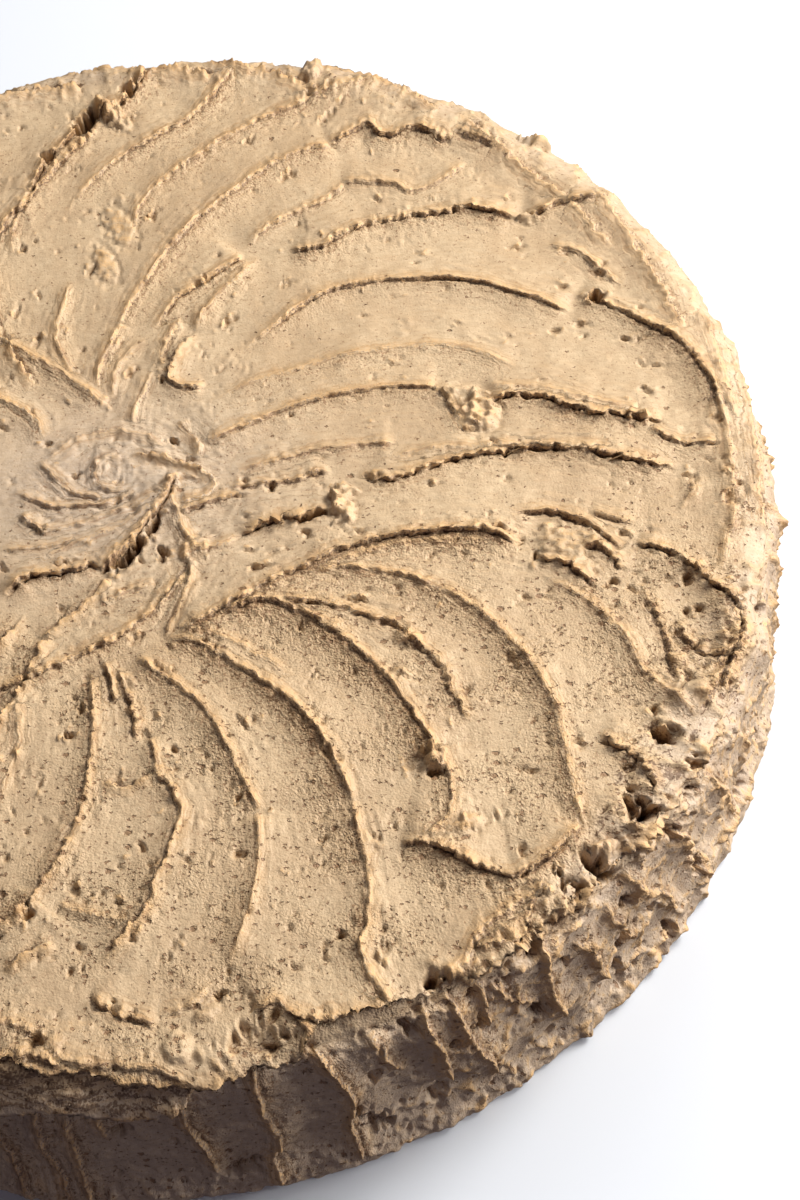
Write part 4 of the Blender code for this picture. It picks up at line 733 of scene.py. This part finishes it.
def ring_sheet(rings):
    """A square grid laid on a disc: s and theta of each of (2 rings + 1) squared points, row by row."""
    n = 2 * rings + 1
    line = np.arange(n, dtype=np.float64) - rings
    A, B = np.meshgrid(line, line, indexing="xy")
    A, B = A.ravel(), B.ravel()
    wide = np.abs(A) > np.abs(B)
    with np.errstate(divide="ignore", invalid="ignore"):
        rho = np.where(wide, A, B)
        phi = np.where(wide, (pi / 4) * (B / A), pi / 2 - (pi / 4) * (A / B))
    phi[(A == 0) & (B == 0)] = 0
    x, y = rho * np.cos(phi), rho * np.sin(phi)
    return np.abs(rho) / rings * S_BASE, np.arctan2(y, x)


def blur(grid, times):
    for _ in range(times):
        p = np.pad(grid, 1, mode="edge")
        grid = (p[:-2, 1:-1] + p[2:, 1:-1] + p[1:-1, :-2] + p[1:-1, 2:] + 2 * grid) / 6
    return grid


def cake_pieces(rings):
    s, theta = ring_sheet(rings)
    points, h, marks = build_surface(s, theta)
    n = 2 * rings + 1
    P = points.reshape(n, n, 3) / 1000.0
    H = h.reshape(n, n)
    # normals of the whole surface, so that the pieces meet without a line
    cell = np.zeros((n + 1, n + 1, 3))
    d1 = P[1:, 1:] - P[:-1, :-1]
    d2 = P[1:, :-1] - P[:-1, 1:]
    cell[1:-1, 1:-1] = np.cross(d2, d1) * -1
    normal = cell[:-1, :-1] + cell[1:, :-1] + cell[:-1, 1:] + cell[1:, 1:]
    normal /= np.linalg.norm(normal, axis=2, keepdims=True) + 1e-20

    fine = H - blur(H, 6)
    wide = blur(H, 6)
    wide = wide - blur(wide, 60)
    fields = {
        "fine": fine, "wide": wide, **{name: field.reshape(n, n, -1) for name, field in marks.items()},
    }

    core = round(rings * CORE)
    lo, mid, hi = rings - core, rings, rings + core
    last = n - 1
    cells = np.ones((last, last), np.int8)
    cells[:, :] = 0
    cells[:mid, :mid], cells[:mid, mid:], cells[mid:, :mid], cells[mid:, mid:] = 1, 2, 3, 4
    cells[lo:hi, lo:hi] = 0
    index = np.arange(n * n).reshape(n, n)
    flatP, flatN = P.reshape(-1, 3), normal.reshape(-1, 3)
    names = ["frosting_middle", "frosting_left_front", "frosting_right_front", "frosting_left_back", "frosting_right_back"]
    made = []
    for which, name in enumerate(names):
        j, i = np.nonzero(cells == which)
        q = np.stack([index[j, i], index[j, i + 1], index[j + 1, i + 1], index[j + 1, i]], axis=1)
        # each cell is split along its shorter diagonal, so that steep lips stay clean
        da = np.linalg.norm(flatP[q[:, 0]] - flatP[q[:, 2]], axis=1)
        db = np.linalg.norm(flatP[q[:, 1]] - flatP[q[:, 3]], axis=1)
        tris = np.where(
            (da <= db)[:, None],
            np.concatenate([q[:, [0, 1, 2]], q[:, [0, 2, 3]]], axis=1),
            np.concatenate([q[:, [0, 1, 3]], q[:, [1, 2, 3]]], axis=1),
        ).reshape(-1, 3)
        # the piece's cut faces run down to one point in the middle of the underside
        ends = np.concatenate([tris[:, [0, 1]], tris[:, [1, 2]], tris[:, [2, 0]]])
        code, rev = ends[:, 0] * (n * n) + ends[:, 1], ends[:, 1] * (n * n) + ends[:, 0]
        rim = ends[~np.isin(code, rev)]
        used = np.unique(tris)
        new = np.full(n * n, -1, np.int64)
        new[used] = np.arange(len(used))
        apex = len(used)
        outer = new[tris]
        fan = np.stack([new[rim[:, 1]], new[rim[:, 0]], np.full(len(rim), apex)], axis=1)
        co = np.concatenate([flatP[used], [[CENTRE[0] / 1000, CENTRE[1] / 1000, 0.0]]])
        faces = np.concatenate([outer, fan])
        mesh = bpy.data.meshes.new(name)
        mesh.vertices.add(len(co))
        mesh.vertices.foreach_set("co", co.astype(np.float32).ravel())
        mesh.loops.add(len(faces) * 3)
        mesh.loops.foreach_set("vertex_index", faces.astype(np.int32).ravel())
        mesh.polygons.add(len(faces))
        mesh.polygons.foreach_set("loop_start", np.arange(0, len(faces) * 3, 3, dtype=np.int32))
        smooth = np.ones(len(faces), bool)
        smooth[len(outer):] = False
        mesh.polygons.foreach_set("use_smooth", smooth)
        mesh.update(calc_edges=True)
        for key, grid in fields.items():
            value = grid.reshape(n * n, -1)[used]
            value = np.concatenate([value, np.zeros((1, value.shape[1]))]).astype(np.float32).ravel()
            kind, field = ("FLOAT_VECTOR", "vector") if key == "sheet" else ("FLOAT", "value")
            mesh.attributes.new(key, kind, "POINT").data.foreach_set(field, value)
        fan_normal = np.cross(co[fan[:, 1]] - co[fan[:, 0]], co[fan[:, 2]] - co[fan[:, 0]])
        fan_normal /= np.linalg.norm(fan_normal, axis=1, keepdims=True) + 1e-20
        loops = np.concatenate([flatN[used][outer].reshape(-1, 3), np.repeat(fan_normal, 3, axis=0)])
        mesh.normals_split_custom_set(loops.tolist())
        piece = bpy.data.objects.new(name, mesh)
        bpy.context.scene.collection.objects.link(piece)
        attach(piece, "root")
        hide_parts("frosted_cake")
        made.append(piece)
    return made


# ------------------------------------------------------------------------------------------------ finish
def frosting():
    material = bpy.data.materials.new("chocolate_frosting")
    material.use_nodes = True
    nodes, links = material.node_tree.nodes, material.node_tree.links
    shader = nodes["Principled BSDF"]
    shader.inputs["Roughness"].default_value = 0.55
    shader.inputs["Specular IOR Level"].default_value = 0.35

    def attribute(name):
        node = nodes.new("ShaderNodeAttribute")
        node.attribute_name = name
        return node.outputs["Fac"]

    def maths(kind, a, b=0.0, clamp=False):
        node = nodes.new("ShaderNodeMath")
        node.operation, node.use_clamp = kind, clamp
        for socket, value in zip(node.inputs, (a, b)):
            if isinstance(value, (int, float)):
                socket.default_value = value
            else:
                links.new(value, socket)
        return node.outputs[0]

    def spread(value, lo, hi, to_lo=0.0, to_hi=1.0):
        node = nodes.new("ShaderNodeMapRange")
        node.interpolation_type = "SMOOTHSTEP"
        for socket, v in zip(node.inputs[1:5], (lo, hi, to_lo, to_hi)):
            socket.default_value = v
        links.new(value, node.inputs[0])
        return node.outputs[0]

    def mix(factor, a, b, kind="MIX"):
        node = nodes.new("ShaderNodeMix")
        node.data_type, node.blend_type = "RGBA", kind
        for socket, value in ((node.inputs[0], factor), (node.inputs[6], a), (node.inputs[7], b)):
            if isinstance(value, (int, float)):
                socket.default_value = value
            elif isinstance(value, tuple):
                socket.default_value = (*value, 1.0)
            else:
                links.new(value, socket)
        return node.outputs[2]

    def on_sheet(node, scale, vector):
        """Feeds a texture with a place on the frosting in mm."""
        move = nodes.new("ShaderNodeVectorMath")
        move.operation = "SCALE"
        links.new(vector, move.inputs[0])
        move.inputs["Scale"].default_value = scale
        links.new(move.outputs[0], node.inputs["Vector"])

    def texture(size, detail=1.0, rough=0.5, vector=None, flat=False):
        """Noise whose grains are size mm across."""
        node = nodes.new("ShaderNodeTexNoise")
        node.noise_dimensions = "2D" if flat else "3D"
        node.inputs["Scale"].default_value = 1.0
        node.inputs["Detail"].default_value = detail
        node.inputs["Roughness"].default_value = rough
        on_sheet(node, 1.0 / size, vector if vector is not None else place)
        return node.outputs["Fac"]

    def pits(size, open_up, small, large, vector):
        """Round pits on a scatter of cells size mm across: 1 in a pit's middle. open_up is the share of cells with one."""
        node = nodes.new("ShaderNodeTexVoronoi")
        node.voronoi_dimensions = "2D"
        node.inputs["Scale"].default_value = 1.0
        on_sheet(node, 1.0 / size, vector)
        split = nodes.new("ShaderNodeSeparateColor")
        links.new(node.outputs["Color"], split.inputs[0])
        wide = spread(split.outputs[1], 0.0, 1.0, small, large)
        inside = maths("SUBTRACT", 1.0, maths("DIVIDE", node.outputs["Distance"], wide), True)
        chosen = maths("GREATER_THAN", maths("ADD", split.outputs[0], open_up), 1.0)
        return maths("MULTIPLY", spread(inside, 0.0, 0.55), chosen)

    sheet = nodes.new("ShaderNodeAttribute")
    sheet.attribute_name = "sheet"
    place = sheet.outputs["Vector"]
    fine, crest, fall, slot = attribute("fine"), attribute("crest"), attribute("fall"), attribute("slot")
    grain_and_shade, tone, strand = attribute("grain_and_shade"), attribute("tone"), attribute("strand")

    # colour: milk-chocolate tan, with a painted golden highlight on thin lips and painted shade, deep brown, where the
    # frosting folds in
    base = mix(spread(tone, 0.2, 0.8), (0.466, 0.333, 0.196), (0.530, 0.396, 0.243))

    stretch = nodes.new("ShaderNodeVectorMath")
    stretch.operation = "MULTIPLY"
    links.new(place, stretch.inputs[0])
    stretch.inputs[1].default_value = (0.5, 1.25, 1.0)
    longer_place = stretch.outputs[0]
    # painted reflection and shade: smooth open frosting in the middle of the top and in the rim's cups is painted
    # greyer as if it reflected the sky, and the side away from its edges is painted greyer and darker as shade
    painted_reflection_and_shade = attribute("painted_reflection_and_shade")
    base = mix(maths("MULTIPLY", painted_reflection_and_shade, 0.5, True), base, (0.475, 0.394, 0.318))
    base = mix(spread(painted_reflection_and_shade, 1.32, 1.50, 0.0, 0.55), base, (0.350, 0.272, 0.210))
    # painted shade: the grainy front, and the side in part, are painted darker and browner
    base = mix(maths("MULTIPLY", grain_and_shade, 0.40), base, (0.420, 0.292, 0.160))
    mottled = texture(0.9, 1.0, 0.6, longer_place)
    base = mix(spread(mottled, 0.25, 0.75, 0.34, 0.0), base, (0.34, 0.222, 0.115))

    # strands: fine folds that run with a crest
    vector = nodes.new("ShaderNodeCombineXYZ")
    links.new(maths("MULTIPLY", attribute("strand_u"), 0.16), vector.inputs[0])
    links.new(maths("MULTIPLY", attribute("strand_v"), 1.5), vector.inputs[1])
    strands = texture(1.0, 1.5, 0.6, vector.outputs[0], True)

    # grains and air pits finer than the mesh, on a place that wavers so that none is quite round
    grain = nodes.new("ShaderNodeTexNoise")
    grain.noise_dimensions = "3D"
    grain.inputs["Scale"].default_value = 1.0
    grain.inputs["Detail"].default_value = 1.0
    on_sheet(grain, 1 / 0.44, place)
    waver = nodes.new("ShaderNodeVectorMath")
    waver.operation = "MULTIPLY_ADD"
    links.new(grain.outputs["Color"], waver.inputs[0])
    waver.inputs[1].default_value = (0.9, 0.9, 0.0)
    links.new(place, waver.inputs[2])
    longer = nodes.new("ShaderNodeVectorMath")
    longer.operation = "MULTIPLY"
    links.new(waver.outputs[0], longer.inputs[0])
    longer.inputs[1].default_value = (0.74, 1.1, 0.0)
    wavered = longer.outputs[0]
    stipple = grain.outputs["Fac"]
    small_pit = pits(0.72, maths("MULTIPLY", grain_and_shade, 0.38), 0.12, 0.46, wavered)
    large_pit = pits(2.7, maths("MULTIPLY", grain_and_shade, 0.42), 0.08, 0.26, wavered)
    pit = maths("MAXIMUM", small_pit, large_pit)

    # painted shade: hollows and small recesses of the relief are painted darker, and the banks between hollows get a
    # painted golden highlight
    wide = attribute("wide")
    base = mix(maths("MULTIPLY", spread(wide, -0.45, -1.40), 0.50), base, (0.265, 0.168, 0.105))
    base = mix(maths("MULTIPLY", spread(wide, -0.9, -2.1), 0.75), base, (0.125, 0.074, 0.046))
    bank = maths("MULTIPLY", spread(wide, 0.30, 1.20), spread(fine, -0.04, 0.12))
    base = mix(maths("MULTIPLY", bank, 0.45), base, (0.530, 0.335, 0.155))
    deep = spread(fine, -0.10, -0.65)
    base = mix(maths("MULTIPLY", deep, 0.55), base, (0.24, 0.125, 0.052))
    # painted shade on the steep faces: they are tinted darker ochre, and their torn grains are painted dark among tan
    # ones
    base = mix(maths("MULTIPLY", fall, 0.75, True), base, (0.42, 0.276, 0.138))
    clods = texture(0.62, 2.0, 0.65)
    torn = spread(maths("ADD", clods, maths("MULTIPLY", fall, -0.22)), 0.38, 0.30)
    base = mix(maths("MULTIPLY", torn, 0.72), base, (0.19, 0.10, 0.043))
    # painted golden highlight, for light glowing through thin frosting, on the lip along each crest and on the crests,
    # crumbs and brims marked in the relief
    across = maths("ADD", attribute("strand_v"), maths("MULTIPLY", maths("SUBTRACT", clods, 0.5), 3.0))
    across = maths("ADD", across, maths("MULTIPLY", maths("SUBTRACT", strands, 0.5), 1.2))
    lip = maths("MULTIPLY", spread(across, -0.30, -0.05), spread(across, 2.6, 0.6))
    lip = maths("MULTIPLY", lip, attribute("lip"))
    golden = maths("MULTIPLY", spread(crest, 0.15, 0.9), spread(stipple, 0.30, 0.62, 0.35, 1.0))
    base = mix(maths("MULTIPLY", lip, 0.80), base, (0.470, 0.302, 0.148))
    golden = maths("MAXIMUM", golden, maths("MULTIPLY", lip, spread(across, 0.75, 0.10)))
    base = mix(maths("MULTIPLY", golden, 0.85), base, (0.565, 0.352, 0.158))
    # painted shade in the grooves between the fine folds along a crest
    fold_groove_shade = maths("MULTIPLY", spread(strands, 0.50, 0.34), strand, True)
    base = mix(maths("MULTIPLY", fold_groove_shade, 0.55), base, (0.27, 0.145, 0.062))
    # painted shade inside the air pits
    base = mix(maths("MULTIPLY", pit, 0.78), base, (0.185, 0.092, 0.038))
    # painted shade: crevices under the crests, and the holes, pockets and brow face marked in the relief, are painted
    # near black, as shade deeper than the mesh can follow
    crevice_shade = maths("MULTIPLY", spread(across, -1.25, -0.8), spread(across, -0.25, -0.50))
    crevice_shade = maths("MULTIPLY", crevice_shade, spread(maths("ADD", slot, maths("MULTIPLY", maths("SUBTRACT", stipple, 0.5), 1.5)), 0.30, 0.85))
    painted_crease_shade = spread(maths("ADD", attribute("painted_crease_shade"), maths("MULTIPLY", maths("SUBTRACT", stipple, 0.5), 1.3)), 0.50, 0.80)
    crevice_shade = maths("MAXIMUM", crevice_shade, painted_crease_shade)
    base = mix(maths("MULTIPLY", crevice_shade, 0.80), base, (0.105, 0.053, 0.024))
    links.new(base, shader.inputs["Base Color"])

    rough = spread(maths("ADD", tone, maths("MULTIPLY", stipple, 0.6)), 0.4, 1.3, 0.48, 0.68)
    links.new(rough, shader.inputs["Roughness"])

    # the same in relief, in millimetres
    loud = maths("ADD", maths("MULTIPLY", grain_and_shade, 0.24), maths("ADD", maths("MULTIPLY", fall, 0.36), 0.06))
    height = maths("MULTIPLY", stipple, loud)
    height = maths("ADD", height, maths("MULTIPLY", pit, -0.28))
    height = maths("ADD", height, maths("MULTIPLY", maths("MULTIPLY", strands, strand), 0.34))
    bump = nodes.new("ShaderNodeBump")
    bump.inputs["Strength"].default_value = 1.0
    bump.inputs["Distance"].default_value = 0.001
    links.new(height, bump.inputs["Height"])
    links.new(bump.outputs[0], shader.inputs["Normal"])
    return material


pieces = cake_pieces(RINGS)
finish = frosting()
for piece in pieces:
    piece.data.materials.append(finish)

# ------------------------------------------------------------------------------------------------ floor, light, camera
floor_mesh = bpy.data.meshes.new("floor")
floor_mesh.from_pydata([(-6, -6, 0), (6, -6, 0), (6, 6, 0), (-6, 6, 0)], [], [(0, 1, 2, 3)])
floor = bpy.data.objects.new("floor", floor_mesh)
floor.location.z = -0.0002
floor.visible_diffuse = floor.visible_glossy = False
bpy.context.scene.collection.objects.link(floor)
plain = bpy.data.materials.new("plain_floor")
plain.use_nodes = True
plain.node_tree.nodes["Principled BSDF"].inputs["Base Color"].default_value = (0.63, 0.665, 0.71, 1)
plain.node_tree.nodes["Principled BSDF"].inputs["Roughness"].default_value = 0.8
plain.node_tree.nodes["Principled BSDF"].inputs["Specular IOR Level"].default_value = 0.2
floor_mesh.materials.append(plain)

world = bpy.data.worlds.new("studio")
bpy.context.scene.world = world
world.use_nodes = True
world.node_tree.nodes["Background"].inputs["Color"].default_value = (0.93, 0.73, 1.0, 1)
world.node_tree.nodes["Background"].inputs["Strength"].default_value = 0.046


def area_light(name, place, towards, size, power, colour):
    light = bpy.data.lights.new(name, "AREA")
    light.shape, light.size, light.energy, light.color = "DISK", size, power, colour
    lamp = bpy.data.objects.new(name, light)
    lamp.location = place
    lamp.rotation_mode = "QUATERNION"
    lamp.rotation_quaternion = (Vector(towards) - Vector(place)).to_track_quat("-Z", "Y")
    bpy.context.scene.collection.objects.link(lamp)
    return lamp


area_light("window", (0.660, 0.308, 0.640), (0, 0, 0.03), 0.46, 12.9, (1.0, 0.97, 0.93))
area_light("side_window", (0.860, -0.030, 0.260), (0, 0, 0.03), 0.42, 8.2, (1.0, 0.97, 0.95))
area_light("front_bounce", (0.34, -1.05, 0.30), (0, 0, 0.03), 0.34, 1.4, (0.92, 0.87, 1.0))
area_light("ceiling", (-0.35, 0.8, 1.6), (0, 0, 0.03), 1.6, 13.0, (0.98, 0.97, 0.97))

camera_data = bpy.data.cameras.new("camera")
camera_data.lens, camera_data.sensor_width, camera_data.sensor_fit = 75.0, 36.0, "AUTO"
camera_data.clip_start, camera_data.clip_end = 0.02, 20
camera = bpy.data.objects.new("camera", camera_data)
UNIT, TILT, ROLL = 0.1215, 0.9776363, 0.09292465
target = Vector((0.38541335, -0.24602727, 0.39665279)) * UNIT + Vector((CENTRE[0], CENTRE[1], 0)) / 1000
back = Vector((0, -cos(TILT), sin(TILT)))
right = Vector((1, 0, 0))
up = back.cross(right)
cam_right = right * cos(ROLL) - up * sin(ROLL)
cam_up = right * sin(ROLL) + up * cos(ROLL)
spin = Matrix((cam_right, cam_up, back)).transposed()
camera.matrix_world = Matrix.Translation(target + back * 3.7831802 * UNIT) @ spin.to_4x4()
bpy.context.scene.collection.objects.link(camera)
bpy.context.scene.camera = camera
bpy.context.scene.view_settings.view_transform = "Standard"
bpy.context.scene.view_settings.look = "None"
